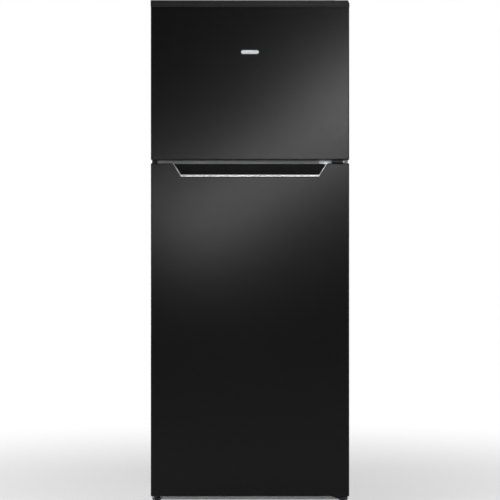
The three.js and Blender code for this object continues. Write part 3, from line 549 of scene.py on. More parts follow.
def inner_liner(name, z0, z1, d0, d1, body, node, ribs):
    def lp(hx, za, zb, r, y):
        return [(x, y, z) for x, z in rrect(-hx, hx, za, zb, r, 8)]
    L = []
    L.append(lp(321.6, z0, z1, 5, -289))
    L.append(lp(321.6, z0, z1, 5, -287.2))
    L.append(lp(320.8, z0 + .8, z1 - .8, 5, -286.9))
    L.append(lp(300, z0 + 22, z1 - 22, 9, -286.9))
    L.append(lp(299, z0 + 23, z1 - 23, 9, -287.6))
    L.append(lp(293, d0 - 3, d1 + 3, 12, -287.6))
    L.append(lp(291, d0 - 1, d1 + 1, 13, -286.5))
    L.append(lp(289.6, d0 + .4, d1 - .4, 14, -283))
    L.append(lp(287.5, d0 + 2.5, d1 - 2.5, 15, -262))
    for k in range(4):
        t = math.radians(90 * k / 3)
        L.append(lp(282.5 + 4.6 * math.cos(t), d0 + 7.5 - 4.6 * math.cos(t), d1 - 7.5 + 4.6 * math.cos(t), 16, -259.8 + 4.6 * math.sin(t)))
    for k in range(4):
        t = math.radians(90 * (3 - k) / 3)
        L.append(lp(278 - 3.4 * math.cos(t), d0 + 12 + 3.4 * math.cos(t), d1 - 12 - 3.4 * math.cos(t), 14, -259.0 + 3.8 * math.sin(t)))
    L.append(lp(273.2, d0 + 16.8, d1 - 16.8, 12, -268))
    L.append(lp(271.4, d0 + 18.6, d1 - 18.6, 11, -283))
    L.append(lp(270.6, d0 + 19.4, d1 - 19.4, 10, -286.3))
    L.append(lp(268.5, d0 + 21.5, d1 - 21.5, 8, -287.1))
    parts = [loops(L)]
    # Lugs on the inside of the rim that the bins hang on.
    for z in ribs:
        for s in (-1, 1):
            a, b = sorted((s * 268.6, s * 273.5))
            parts.append(soft_box("z", a, b, -284, -262, z - 9, z + 9, 1.5, 1.2, 3))
    return piece(name, join(*parts), "liner", body, [node], angle=40)


inner_liner("freezer_door_liner_v", 1216, 1748, 1249, 1701, FD, "freezer_door_liner", (1395, 1450, 1592, 1640))
inner_liner("fridge_door_liner_v", 31, 1194, 97, 1162, RD, "fridge_door_liner", (300, 420, 660, 760, 985, 1060))


def gasket(name, z0, z1, body, node):
    # Closed section from the outside in: dart, bellows, magnet pocket, bellows.
    sec = [(0.0, -286.6), (0.0, -285.6), (1.6, -284.6), (3.4, -283.6), (2.2, -282.2), (1.0, -280.8), (0.6, -279.2), (1.6, -277.7), (4, -277.35), (12, -277.35), (14.6, -277.7), (15.8, -279.2), (15.4, -281.2), (13.8, -282.6), (14.6, -284.2), (17.4, -285.4), (18, -286.6)]
    rows = [[(x, y, z) for x, z in rrect(-319 + u, 319 - u, z0 + u, z1 - u, 1.2, 3)] for u, y in sec]
    return piece(name, loops(rows, wrap=True), "gasket", body, [node], angle=50)


gasket("freezer_gasket_v", 1223.5, 1727, FD, "freezer_gasket")
gasket("fridge_gasket_v", 72, 1187, RD, "fridge_gasket")


def door_bin(name, z0, z1, back, body, node, bottle=False):
    """Clear moulded tray: back wall on the door, bowed wall to the inside, rolled rim."""
    def lp(d, z, drop=0.0):
        pts = rrect(-269.5 + d, 269.5 - d, -286.6 + d, back - d, (16 - min(d, 8), 16 - min(d, 8), 4, 4), 6)
        return [(x, y, z - (drop if y > -260 else 0)) for x, y in pts]
    h = z1 - z0
    L = [lp(9, z0), lp(5.2, z0 + 0.9), lp(3.8, z0 + 3.5), lp(2.6, z0 + h * 0.45), lp(2.2, z1 - 14), lp(0.4, z1 - 12.5), lp(0, z1 - 11), lp(0, z1 - 1.6), lp(0.5, z1 - 0.4), lp(1.6, z1),
         lp(2.9, z1 - 0.3), lp(3.4, z1 - 1.4), lp(4.9, z0 + h * 0.45), lp(6.2, z0 + 5.6), lp(7.4, z0 + 3.4), lp(11, z0 + 2.6)]
    tray = loops(L)
    o = piece(name, tray, "clear", body, [node], angle=45)
    # Opaque trim along the top of the inner wall and the two hooks at its ends.
    bar = soft_box("z", -255, 255, back + 0.15, back + 1.4, z1 - 11, z1 - 1.8, 0.5, 0.4, 2)
    hooks = []
    for s in (-1, 1):
        a, b = sorted((s * 265.5, s * 270.6))
        hooks.append(soft_box("z", a, b, -283, -263, z1 - 22, z1 + 6, 1.6, 1.2, 3))
    # Moulded stiffening ribs under the floor.
    ribs = [soft_box("y", -240 + k * 60, -238 + k * 60, z0 + 1.5, z0 + 4.4, -278, back - 12, 0.6, 0.4, 2) for k in range(9)]
    piece(name + "_trim", bar, "satin", body)
    piece(name + "_hooks", join(*hooks), "white", body)
    piece(name + "_ribs", join(*ribs), "clear", body)
    if bottle:
        # Sliding bottle stop: a white comb that clips over the inner wall.
        stop = join(soft_box("x", back - 2.6, back + 0.4, z1 - 30, z1 + 3, 40, 88, 1, 0.8, 3), soft_box("z", 62, 65, -262, back - 3, z1 - 30, z1 - 4, 1, 0.8, 3))
        piece(name + "_stop", stop, "white", body)
    return o


door_bin("freezer_bin_upper_v", 1482, 1570, -196, FD, "freezer_bin_upper")
door_bin("freezer_bin_lower_v", 1270, 1372, -196, FD, "freezer_bin_lower")
door_bin("door_bin_upper_v", 870, 954, -192, RD, "door_bin_upper")
door_bin("door_bin_lower_v", 540, 630, -192, RD, "door_bin_lower")
door_bin("bottle_bin_v", 122, 252, -172, RD, "bottle_bin", True)
# Egg tray in the upper door bin.
egg_rows = []
cups = []
for i in range(6):
    for j in range(1):
        cx = -232 + i * 42
        cups.append(ring_lathe([(17.5, 893), (17.5, 881), (12, 877.5), (10.6, 877.5), (15.9, 882), (15.9, 893)], "z", cx, -232, 24))
cups.append(join(soft_box("z", -255, -1, -254, -250, 891, 894, 1.5, 0.6, 3), soft_box("z", -255, -1, -214, -210, 891, 894, 1.5, 0.6, 3)))
piece("egg_tray", join(*cups), "white", RD, angle=40)

# ================================================================== cabinet
# Outer wrap: bent sheet with rounded roof corners and eased front corners.
def wrap():
    def prof(off, r):
        x, z = 349 - off, 1765 - off
        pts = [(-x, 20)]
        for i in range(7):
            t = math.radians(180 - 90 * i / 6)
            pts.append((-x + r + r * math.cos(t), z - r + r * math.sin(t)))
        for i in range(7):
            t = math.radians(90 - 90 * i / 6)
            pts.append((x - r + r * math.cos(t), z - r + r * math.sin(t)))
        pts.append((x, 20))
        return pts
    o0, i0 = prof(0, 3.2), prof(1.0, 2.2)
    o1 = prof(0.45, 2.9)
    o2 = prof(1.3, 2.2)
    def at(p, y):
        return [(x, y, z) for x, z in p]
    L = [at(o2, -277), at(o1, -276.6), at(o0, -275.6), at(o0, 329), at(i0, 329), at(i0, -275.4)]
    rows = L
    n = len(rows[0])
    pts = [p for r in rows for p in r]
    faces = []
    m = len(rows)
    for i in range(m):
        a, b = i * n, ((i + 1) % m) * n
        for j in range(n - 1):
            faces.append((a + j, a + j + 1, b + j + 1, b + j))
    faces.append(tuple(i * n for i in range(m)))
    faces.append(tuple(reversed([i * n + n - 1 for i in range(m)])))
    return pts, faces


flanges = join(
    wrap(),
    box(-348.2, -300.5, -277, -276, 90, 1764.2), box(300.5, 348.2, -277, -276, 90, 1764.2),
    box(-300.5, 300.5, -277, -276, 1708.5, 1764.2))
piece("cabinet_shell_v", flanges, "paint", CB, ["cabinet_shell"], angle=30)
keep("cabinet_foam", "foam")


# Rear sheet with pressed ribs.
def back_sheet():
    x0, x1, z0, z1 = -348.6, 348.6, 257.5, 1764.6
    nx, nz = 100, 216
    def h(x, z):
        v = 0.0
        def ridge(d, w=11.0, a=3.4):
            return a * max(0.0, math.cos(min(1.0, abs(d) / w) * math.pi / 2)) ** 1.4
        dx, dz = min(x - x0, x1 - x), min(z - z0, z1 - z)
        edge = min(dx, dz)
        v = max(v, ridge(edge - 46))
        if edge > 60:
            for k in range(1, 6):
                zc = z0 + (z1 - z0) * k / 6
                v = max(v, ridge(z - zc, 10, 3.0) * min(1.0, (dx - 60) / 16))
        return v
    pts, faces = [], []
    for k in range(nz + 1):
        z = z0 + (z1 - z0) * k / nz
        for i in range(nx + 1):
            x = x0 + (x1 - x0) * i / nx
            pts.append((x, 330.3 + h(x, z), z))
    base = len(pts)
    for k in range(nz):
        for i in range(nx):
            a = k * (nx + 1) + i
            faces.append((a, a + 1, a + nx + 2, a + nx + 1))
    rim = [i for i in range(nx + 1)] + [k * (nx + 1) + nx for k in range(1, nz + 1)] + [nz * (nx + 1) + i for i in range(nx - 1, -1, -1)] + [k * (nx + 1) for k in range(nz - 1, 0, -1)]
    inner = []
    for r in rim:
        inner.append(len(pts))
        pts.append((pts[r][0], 329.3, pts[r][2]))
    for j in range(len(rim)):
        k = (j + 1) % len(rim)
        faces.append((rim[j], inner[j], inner[k], rim[k]))
    faces.append(tuple(inner))
    return pts, faces


piece("back_panel_v", back_sheet(), "galv", CB, ["back_panel"], angle=50)

refine("machine_deck", "galv", 0.4, 2)
refine("mullion_rail", "paint", 0.45, 2)
# Base rail in the lifted rail colour: painted light against the shade under the fridge door.
refine("base_rail", "rail", 0.35, 2)
refine("top_hinge", "zinc", 0.4, 2)
refine("top_hinge_cover", "door_cap", 0.8, 3)
refine("center_hinge", "zinc", 0.5, 2)
# Black moulded shoe that slips over the end of the centre hinge arm, beside and round the pin.
def shoe_outline(d):
    return [(289 + d, -300), (289 + d, -338.6), (290.4 + d, -341.6), (293.6, -343.4 + d), (321.5, -343.7 + d), (326.4 - d, -341.4), (329.4 - d, -336), (330.6 - d, -320), (330.6 - d, -300)]


for tag, levels in (("lower", ((1.2, 1200.9), (0.3, 1201.3), (0.0, 1202.3))), ("upper", ((0.0, 1207.7), (0.3, 1208.7), (1.2, 1209.1)))):
    piece("center_hinge_shoe_" + tag, stack("z", [(shoe_outline(d), z) for d, z in levels]), "black", CB, angle=40)
wall = shoe_outline(0.0) + list(reversed(shoe_outline(0.9)))
piece("center_hinge_shoe_wall", prism("z", wall, 1202.2, 1207.8), "black", CB, angle=40)
refine("bottom_hinge", "black", 0.5, 2)


def on_wall(a, b):
    return True


# Liners: vacuum-formed, with wide fillets in the inner corners.
def corner(lo_z, hi_z, y_back):
    def test(a, b):
        inner_x = abs(abs(a[0]) - 298) < 0.4 and abs(abs(b[0]) - 298) < 0.4
        floor = all(abs(p[2] - lo_z) < 0.4 for p in (a, b))
        roof = all(abs(p[2] - hi_z) < 0.4 for p in (a, b))
        rear = all(abs(p[1] - y_back) < 0.4 for p in (a, b))
        inside = all(abs(p[0]) < 298.5 for p in (a, b))
        long = (Vector(a) - Vector(b)).length > 60
        return inside and long and ((inner_x and (floor or roof or rear)) or (rear and (floor or roof)))
    return test


refine("freezer_liner", "liner", 1, only=[(16, 5, corner(1244, 1706, 260))], angle=40)


def fridge_corner(a, b):
    inside = all(abs(p[0]) < 298.5 for p in (a, b))
    long = (Vector(a) - Vector(b)).length > 60
    def face_floor(p):
        return abs(p[2] - 92) < 0.4
    def face_roof(p):
        return abs(p[2] - 1166) < 0.4
    def face_rear(p):
        return abs(p[1] - 260) < 0.4
    def face_step(p):
        return abs(p[2] - 300) < 0.4 or abs(p[1] - (70 + (p[2] - 92) * 18 / 208)) < 0.5
    x298 = all(abs(abs(p[0]) - 298) < 0.4 for p in (a, b))
    pair = any(f(a) and f(b) for f in (face_floor, face_roof, face_rear, face_step))
    deep = all(p[1] > -270 or abs(abs(p[0]) - 298) < 0.4 for p in (a, b))
    rim = all(abs(p[1] + 277) < 0.5 for p in (a, b))
    return inside and long and pair and deep and not rim and (x298 or (not x298 and abs(a[0] - b[0]) > 500))


refine("fridge_liner", "liner", 1, only=[(11, 4, fridge_corner)], angle=40)

# ------------------------------------------------------------------ feet and rollers
for side, s in (("left", -1), ("right", 1)):
    x, y = s * 330, -292
    prof = [(0, 0), (8.0, 0), (9, 0.9), (9, 5.4), (8.6, 5.9), (7.9, 6.3), (7.3, 6.8)]
    for k in range(8):
        z = 7.2 + k * 2.3
        prof += [(7.2, z), (8.0, z + 0.75), (8.0, z + 1.1), (7.2, z + 1.85)]
    prof += [(7.2, 25.8), (6.6, 26.4), (0, 26.4)]
    foot = lathe(prof, "z", x, y, 32)
    lugs = []
    for k in range(12):
        t = math.radians(30 * k)
        cx, cy = x + 8.85 * math.cos(t), y + 8.85 * math.sin(t)
        lugs.append(lathe([(0, 1.2), (0.5, 1.4), (0.5, 5.0), (0, 5.2)], "z", cx, cy, 8))
    piece("foot_%s_v" % side, join(foot, *lugs), "black", "foot_" + side, ["foot_" + side], angle=40)
    # Moulded collar on the tab, round the stem, with an apron over the edge of the tab.
    top = 26.2 if side == "left" else 18.2
    collar = ring_lathe([(8.7, 14.3), (9.7, 14.3), (10.4, 14.6), (12.6, top - 1.2), (12.4, top - 0.3), (11.8, top), (8.7, top)], "z", x, y, 32)
    apron = [soft_box("y", x - 14.9, x + 14.9, 8.7, 14.6, -307.2, -306.15, 0.8, 0.3, 2)]
    for e in (-1, 1):
        apron.append(soft_box("x", *sorted((-307.0, -279.5)), 8.7, 14.6, *sorted((x + e * 14.15, x + e * 15.0)), 0.8, 0.3, 2))
    piece("foot_%s_collar" % side, join(collar, *apron), "black", CB, angle=40)
    cx = s * 318
    wheel = ring_lathe([(5.0, cx - 10.5), (9, cx - 10.5), (9.6, cx - 9.2), (14.2, cx - 9.2), (15, cx - 10.2), (16.8, cx - 10.2), (18, cx - 8.8), (18, cx + 8.8), (16.8, cx + 10.2), (15, cx + 10.2), (14.2, cx + 9.2), (9.6, cx + 9.2), (9, cx + 10.5), (5.0, cx + 10.5)], "x", 285, 18, 40)
    spokes = []
    for k in range(5):
        t = math.radians(72 * k)
        c0, c1 = 285 + 12 * math.cos(t), 18 + 12 * math.sin(t)
        spokes.append(lathe([(0, cx - 9.9), (1.2, cx - 9.7), (1.2, cx + 9.7), (0, cx + 9.9)], "x", c0, c1, 8))
    piece("roller_%s_v" % side, join(wheel, *spokes), "grey", "roller_" + side, ["roller_" + side], angle=40)

# ------------------------------------------------------------------ machine compartment
refine("compressor_plate", "zinc", 0.35, 2)
refine("machine_cover", "galv", 0.2, 1)
refine("condenser_fan_shroud", "grey", 0.5, 2, angle=28)


def compressor():
    cx, cy = 130, 232
    prof = [(0, 62), (40, 62), (52, 64), (60, 69), (65.5, 78), (68, 92), (68.3, 108)]
    prof += [(69.8, 109), (70.4, 111), (70.4, 113.5), (69.8, 115.5), (68.3, 116.5)]
    prof += [(67.8, 130), (65.5, 148), (61, 163), (54, 175), (44, 185), (32, 193), (18, 198), (0, 200)]
    shell = lathe(prof, "z", cx, cy, 56, sx=1.2)
    return shell


piece("compressor_shell_v", compressor(), "enamel", CB, ["compressor"], angle=50)
plate = stack("z", [(rrect(38, 222, 154, 310, 14, 6), 53), (rrect(38, 222, 154, 310, 14, 6), 55.4)])
plate2 = stack("z", [(rrect(60, 200, 176, 288, 30, 8), 55.2), (rrect(72, 188, 188, 276, 26, 8), 64)])
piece("compressor_bracket", join(plate, plate2), "enamel", CB, angle=35)
grommets, bolts = [], []
for a in (-1, 1):
    for b in (-1, 1):
        gx, gy = 130 + a * 78, 232 + b * 64
        grommets.append(ring_lathe([(4, 39.8), (11, 39.8), (11.6, 41), (11.6, 48), (9, 50), (9, 56), (11, 57), (11, 59.5), (10, 60.5), (4, 60.5)], "z", gx, gy, 24))
        bolts.append(lathe([(0, 39.6), (3.4, 39.6), (3.4, 60.6), (7.2, 60.7), (7.2, 61.6), (5.2, 61.8), (5.2, 65), (4.4, 65.8), (0, 65.8)], "z", gx, gy, 18))
piece("compressor_grommets", join(*grommets), "rubber", CB, angle=40)
piece("compressor_bolts", join(*bolts), "zinc", CB, angle=40)
relay = join(soft_box("x", 204, 262, 94, 150, 206, 233, 5, 3, 4), soft_box("x", 212, 254, 100, 112, 232, 236, 2, 1, 3))
piece("compressor_relay_cover", relay, "black", CB, angle=40)
tubes = join(
    tube([(70, 190, 150), (58, 178, 152), (30, 178, 152), (10, 178, 150), (-60, 176, 146), (-60, 176, 66), (-196, 166, 62)], 3.0, 12, 14),
    tube([(190, 190, 150), (206, 178, 152), (262, 172, 156), (300, 170, 200), (300, 170, 247)], 4.0, 12, 16),
    tube([(112, 300, 120), (112, 316, 122), (92, 319, 126), (70, 319, 128)], 3.0, 12, 8))
piece("refrigerant_tubes", tubes, "copper", CB, angle=50)
drier = lathe([(0, -10), (2.4, -10), (2.6, -2), (8.4, 6), (9, 10), (9, 70), (8.4, 74), (2.6, 82), (2.4, 92), (0, 92)], "x", 0, 0, 24)
piece("filter_drier", moved(drier, -296 + 20, 310, 226), "copper", CB, angle=45)


def coil():
    y0, y1 = 158, 306
    xs = [-325, -297, -269, -241, -213]
    pts, flip = [], False
    for k in range(4):
        z = 62 + k * 46
        for x in (reversed(xs) if k % 2 else xs):
            pts += [(x, y1 if flip else y0, z), (x, y0 if flip else y1, z)]
            flip = not flip
    parts = [tube(pts, 3.0, 10, 13.5, 7)]
    return join(*parts)


piece("condenser_coil_v", coil(), "enamel", CB, ["condenser_coil"], angle=60)
wires = []
for k in range(4):
    z = 62 + k * 46
    for i in range(13):
        y = 170 + i * 10.2
        for dz in (3.4, -3.4):
            wires.append(tube([(-331, y, z + dz), (-207, y, z + dz)], 0.75, 6, 1, 1))
for y in (185, 280):
    wires.append(join(soft_box("x", y, y + 2.5, 56, 206, -335, -331, 0.8, 0.4, 2), soft_box("x", y, y + 2.5, 56, 206, -207, -203, 0.8, 0.4, 2)))
piece("condenser_wires", join(*wires), "enamel", CB, angle=50)


def fan_shape(axis, c0, c1, a0, a1, hub, tip, blades, bore_open):
    """Axial fan with twisted, swept blades; the hub is a cup that opens towards the motor."""
    parts = []
    mid = (a0 + a1) / 2
    # Hub cup: the domed end looks away from the motor.
    s = 1 if bore_open == "high" else -1
    near, far = (a0, a1) if s > 0 else (a1, a0)
    prof = [(0, near), (hub * 0.72, near), (hub * 0.93, near + s * 1.6), (hub, near + s * 4.5), (hub, far), (hub - 1.8, far), (hub - 1.8, near + s * 5.5), (hub * 0.4, near + s * 4), (hub * 0.4, far - s * 2), (hub * 0.27, far - s * 2), (hub * 0.27, near + s * 3.4), (0, near + s * 3.4)]
    parts.append(lathe(prof, axis, c0, c1, 40))
    for k in range(blades):
        base = 2 * math.pi * k / blades
        nr, nc = 9, 9
        grid_a, grid_b = [], []
        for i in range(nr):
            q = i / (nr - 1)
            r = hub - 1 + (tip - hub + 1) * q
            pitch = math.radians(42 - 20 * q)
            chord = (0.62 + 0.55 * q - 0.18 * q * q) * (tip - hub) * 0.95
            lead = 0.35 * q * q
            for j in range(nc):
                t = j / (nc - 1) - 0.5
                camber = 1.6 * (1 - (2 * t) ** 2)
                along = t * chord * math.cos(pitch)
                h = t * chord * math.sin(pitch) * 0.8 + camber
                h = max(-(a1 - a0) / 2 + 0.4, min((a1 - a0) / 2 - 0.6, h))
                ang = base + lead + along / max(r, 1)
                rr = r - (0.9 if (i == nr - 1 and j in (0, nc - 1)) else 0)
                thick = 0.75 * (1 - 0.6 * (2 * t) ** 2)
                grid_a.append(to3(axis, c0 + rr * math.cos(ang), c1 + rr * math.sin(ang), mid + h + thick))
                grid_b.append(to3(axis, c0 + rr * math.cos(ang), c1 + rr * math.sin(ang), mid + h - thick))
        pts = grid_a + grid_b
        n = nr * nc
        faces = []
        for i in range(nr - 1):
            for j in range(nc - 1):
                a = i * nc + j
                faces.append((a, a + 1, a + nc + 1, a + nc))
                faces.append((n + a, n + a + nc, n + a + nc + 1, n + a + 1))
        rim = [j for j in range(nc)] + [i * nc + nc - 1 for i in range(1, nr)] + [(nr - 1) * nc + j for j in range(nc - 2, -1, -1)] + [i * nc for i in range(nr - 2, 0, -1)]
        for u in range(len(rim)):
            v = (u + 1) % len(rim)
            faces.append((rim[v], rim[u], n + rim[u], n + rim[v]))
        parts.append((pts, faces))
    return join(*parts)


piece("condenser_fan_v", fan_shape("x", 232, 138, -158, -132, 18, 60, 5, "high"), "black", "condenser_fan", ["condenser_fan"], angle=45)
piece("evaporator_fan_v", fan_shape("y", 0, 1570, 204, 224, 15, 54, 5, "high"), "white", "evaporator_fan", ["evaporator_fan"], angle=45)


def tray_shape(x0, x1, y0, y1, z0, z1, wall=2.5, r=12, draft=3.0, lip=3.0, lip_h=6.0, seg=6):
    def lp(d, z, rr=None):
        return [(x, y, z) for x, y in rrect(x0 + d, x1 - d, y0 + d, y1 - d, max(1.0, (r if rr is None else rr) - d), seg)]
    h = z1 - z0
    w = wall
    L = [lp(draft + lip + 5, z0), lp(draft + lip + 1.4, z0 + 0.8), lp(draft + lip, z0 + 3), lp(lip, z1 - lip_h - 1), lp(0.4, z1 - lip_h + 0.2), lp(0, z1 - lip_h + 1.4), lp(0, z1 - 1), lp(0.8, z1),
         lp(lip + w - 1.2, z1), lp(lip + w - 0.4, z1 - 0.6), lp(lip + w, z1 - 2), lp(draft + lip + w, z0 + 4.4), lp(draft + lip + w + 2, z0 + w + 0.5), lp(draft + lip + w + 5, z0 + w)]
    return loops(L)


piece("drip_tray_v", tray_shape(-40, 262, 152, 318, 212, 242, 2.2, 12, 2, 2, 5), "black", CB, ["drip_tray"], angle=45)
piece("cord_gland_v", ring_lathe([(4.5, 324.2), (12.2, 324.2), (13, 325), (13, 328.4), (9.6, 328.8), (9.6, 331), (12.4, 331.4), (12.6, 333), (9, 335.2), (7, 335.6), (4.5, 335.2)], "y", 290, 76, 32), "black", CB, ["cord_gland"], angle=40)

# ------------------------------------------------------------------ freezer interior
fins = []
for i in range(58):
    x = -228 + i * 8
    fins.append(box(x - 0.25, x + 0.25, 210, 254, 1264, 1436))
piece("evaporator_fins", join(*fins), "alu", CB, ["evaporator"], angle=30)
zs = [1280, 1308, 1336, 1364, 1392, 1420]
pts, flip = [], False
for y in (243, 221):
    for z in (zs if y == 243 else list(reversed(zs))):
        pts += [((242 if flip else -242), y, z), ((-242 if flip else 242), y, z)]
        flip = not flip
piece("evaporator_tube", tube(pts, 4.0, 10, 10, 5), "alu", CB, angle=60)
refine("evaporator_cover", "liner", 0.9, 2, angle=35)
# Raised rosette round the blower grille and a moulded border.
rings = [ring_lathe([(62, 196.2), (62, 193.8), (63.2, 192.9), (66.8, 192.9), (68, 193.8), (68, 196.2)], "y", 0, 1570, 56)]
border = []
for (x0, x1, z0, z1) in ((-282, 282, 1488, 1490.5), (-282, 282, 1690, 1692.5), (-282, -279.5, 1490, 1691), (279.5, 282, 1490, 1691)):
    border.append(soft_box("y", x0, x1, z0, z1, 194.6, 196.4, 0.8, 0.5, 2))
piece("evaporator_cover_relief", join(*rings, *border), "liner", CB, angle=40)


def glass_shelf(name, x0, x1, y0, y1, z, node, rear_h, body=CB):
    """Float glass between moulded rails: front nose, rear stop and two side rails."""
    glass = soft_box("z", x0 + 4, x1 - 4, y0 + 4, y1 - 4, z + 3.2, z + 7.8, 3, 0.7, 3)
    piece(name + "_glass", glass, "glass", body, [node], angle=40)
    nose = [(y0, z + 2), (y0 + 1, z + 0.6), (y0 + 3, z), (y0 + 13, z), (y0 + 14, z + 1), (y0 + 14, z + 2.9), (y0 + 6, z + 2.9), (y0 + 6, z + 8.2), (y0 + 14, z + 8.2), (y0 + 14, z + 9.4), (y0 + 8, z + 11.2), (y0 + 4, z + 12), (y0 + 1.4, z + 11.4), (y0 + 0.2, z + 9.5)]
    rear = [(y1, z + 0.6), (y1, z + rear_h - 1), (y1 - 1, z + rear_h), (y1 - 3, z + rear_h), (y1 - 4, z + rear_h - 1), (y1 - 4, z + 9), (y1 - 11, z + 9), (y1 - 11.6, z + 8.2), (y1 - 5, z + 8.2), (y1 - 5, z + 2.9), (y1 - 11.6, z + 2.9), (y1 - 11.6, z + 0.6), (y1 - 11, z), (y1 - 0.6, z)]
    parts = [prism("x", nose, x0 + 0.6, x1 - 0.6), prism("x", rear, x0 + 0.6, x1 - 0.6)]
    for s in (-1, 1):
        a = x1 if s > 0 else x0
        sec = [(a, z + 0.8), (a, z + 8.4), (a - s * 1, z + 9.2), (a - s * 10, z + 9.2), (a - s * 10.6, z + 8.2), (a - s * 4, z + 8.2), (a - s * 4, z + 2.9), (a - s * 10.6, z + 2.9), (a - s * 10.6, z + 0.6), (a - s * 10, z), (a - s * 0.8, z)]
        if s < 0:
            sec = list(reversed(sec))
        parts.append(prism("y", sec, y0 + 8, y1 - 4))
    piece(name + "_rails", join(*parts), "white", body, angle=40)
    strip = soft_box("y", x0 + 16, x1 - 16, z + 4.6, z + 8.2, y0 - 0.35, y0 + 1.2, 1.2, 0.3, 3)
    piece(name + "_strip", strip, "satin", body, angle=40)


glass_shelf("freezer_shelf_v", -291, 291, -134, 190, 1508, "freezer_shelf", 12)
glass_shelf("shelf_middle_v", -294, 294, -148, 238, 588, "shelf_middle", 16)
glass_shelf("shelf_upper_v", -294, 294, -148, 238, 856, "shelf_upper", 16)
glass_shelf("crisper_cover_v", -294, 294, -148, 252, 301, "crisper_cover", 12)

refine("ice_tray_frame", "white", 0.5, 2, angle=35)
refine("ice_tray", "grey", 0.9, 2, angle=35)
# Twist knob grip of the tray.
grip = []
for k in range(16):
    t = math.radians(22.5 * k)
    grip.append(lathe([(0, -145.6), (1.1, -145.4), (1.1, -135.6), (0, -135.4)], "y", -180 + 16.2 * math.cos(t), 1445 + 16.2 * math.sin(t), 8))
piece("ice_tray_knob_grip", join(*grip), "grey", "ice_tray", angle=40)

bucket = tray_shape(-285, -30, -150, 150, 1246, 1384, 2.5, 14, 3.2, 2.2, 8)
piece("ice_bin_v", bucket, "clear", "ice_bin", ["ice_bin"], angle=45)


def lip_grip(x0, x1, y_out, y_in, z0, z1, t=3.5):
    """Hooked grip: top web and a hanging lip, rounded at its edge."""
    sec = [(y_in, z1), (y_out + 2, z1), (y_out + 0.6, z1 - 0.6), (y_out, z1 - 2), (y_out, z0 + 1.2), (y_out + 0.5, z0 + 0.3), (y_out + t / 2, z0), (y_out + t - 0.5, z0 + 0.3), (y_out + t, z0 + 1.2), (y_out + t, z1 - t - 1.2), (y_out + t + 1.2, z1 - t), (y_in, z1 - t)]
    return prism("x", sec, x0, x1)


piece("ice_bin_grip", join(lip_grip(-215, -100, -168, -147.6, 1346, 1376), soft_box("y", -216, -212.5, 1346, 1376, -167, -147, 1, 0.8, 3), soft_box("y", -102.5, -99, 1346, 1376, -167, -147, 1, 0.8, 3)), "frost", "ice_bin", bevel=0, angle=40)
cubes = []
# A few raised ribs inside the bucket's floor keep the cubes off it.
for k in range(6):
    cubes.append(soft_box("y", -255 + k * 38, -252 + k * 38, 1248.8, 1251, -130, 130, 0.8, 0.5, 2))
piece("ice_bin_ribs", join(*cubes), "clear", "ice_bin", angle=40)

# ------------------------------------------------------------------ fresh food interior
refine("air_duct_cover", "liner", 1.2, 3, angle=35)
duct = [soft_box("y", -78, 78, 342, 1098, 244.9, 247.4, 6, 1.0, 5)]
for z in (400, 520, 660, 790, 920, 1040):
    for s in (-1, 1):
        for k in range(2):
            zz = z - 3.2 + k * 5.2
            duct.append(soft_box("y", s * 38 - 24, s * 38 + 24, zz, zz + 1.5, 246.4, 251, 0.6, 0.4, 2))
# Frames round the outlets instead of one plate, so that the slots stay open.
frames = []
for z in (400, 520, 660, 790, 920, 1040):
    for s in (-1, 1):
        for u0, u1, v0, v1 in ((-27, 27, 7, 9.5), (-27, 27, -9.5, -7), (-27, -24.5, -8, 8), (24.5, 27, -8, 8)):
            frames.append(soft_box("y", s * 38 + u0, s * 38 + u1, z + v0, z + v1, 245.6, 247.6, 0.8, 0.6, 2))
piece("air_duct_louvres", join(*duct[1:], *frames), "liner", CB, angle=40)
refine("control_box", "white", 1.6, 3, angle=35)
KX, KZ = -70, 1144
knob = [(0, -166.4), (12, -166.4), (14.6, -165.6), (15.6, -164), (16.2, -152.4), (17, -151.4), (17, -150.6), (4, -150.6), (4, -138), (0, -138)]
kn = [lathe(knob, "y", KX, KZ, 48)]
for k in range(24):
    t = math.radians(15 * k)
    kn.append(lathe([(0, -164.6), (0.8, -164.2), (0.8, -153), (0, -152.6)], "y", KX + 16 * math.cos(t), KZ + 16 * math.sin(t), 6))
kn.append(soft_box("y", KX - 2.2, KX + 2.2, KZ - 14.5, KZ + 14.5, -168.5, -166, 1.6, 0.8, 3))
piece("temperature_knob_v", join(*kn), "white", "temperature_knob", ["temperature_knob"], angle=40)
piece("temperature_knob_pointer", soft_box("y", KX - 1, KX + 1, KZ + 5, KZ + 14, -168.9, -168.3, 0.8, 0.2, 3), "gasket", "temperature_knob")
ticks = []
for k in range(-3, 4):
    t = math.radians(90 - k * 45 * 0.98)
    cx, cz = KX + 24 * math.cos(t), KZ + 18.6 * math.sin(t)
    if cz > 1163 or cz < 1127:
        continue
    ticks.append(lathe([(0, -150.6), (1.3 + 0.25 * (k + 3), -150.5), (1.3 + 0.25 * (k + 3), -150.05), (0, -149.9)], "y", cx, cz, 16))
bezel = ring_lathe([(18.3, -149.8), (18.3, -150.9), (18.9, -151.4), (20.2, -151.4), (20.8, -150.9), (20.8, -149.8)], "y", KX, KZ, 56)
piece("knob_bezel", join(bezel, *ticks), "satin", CB, angle=40)
vents = []
for k in range(11):
    vents.append(soft_box("y", 10 + k * 10, 14 + k * 10, 1134, 1158, -151.1, -149.7, 1.9, 0.4, 4))
piece("control_box_ribs", join(*vents), "white", CB, angle=40)


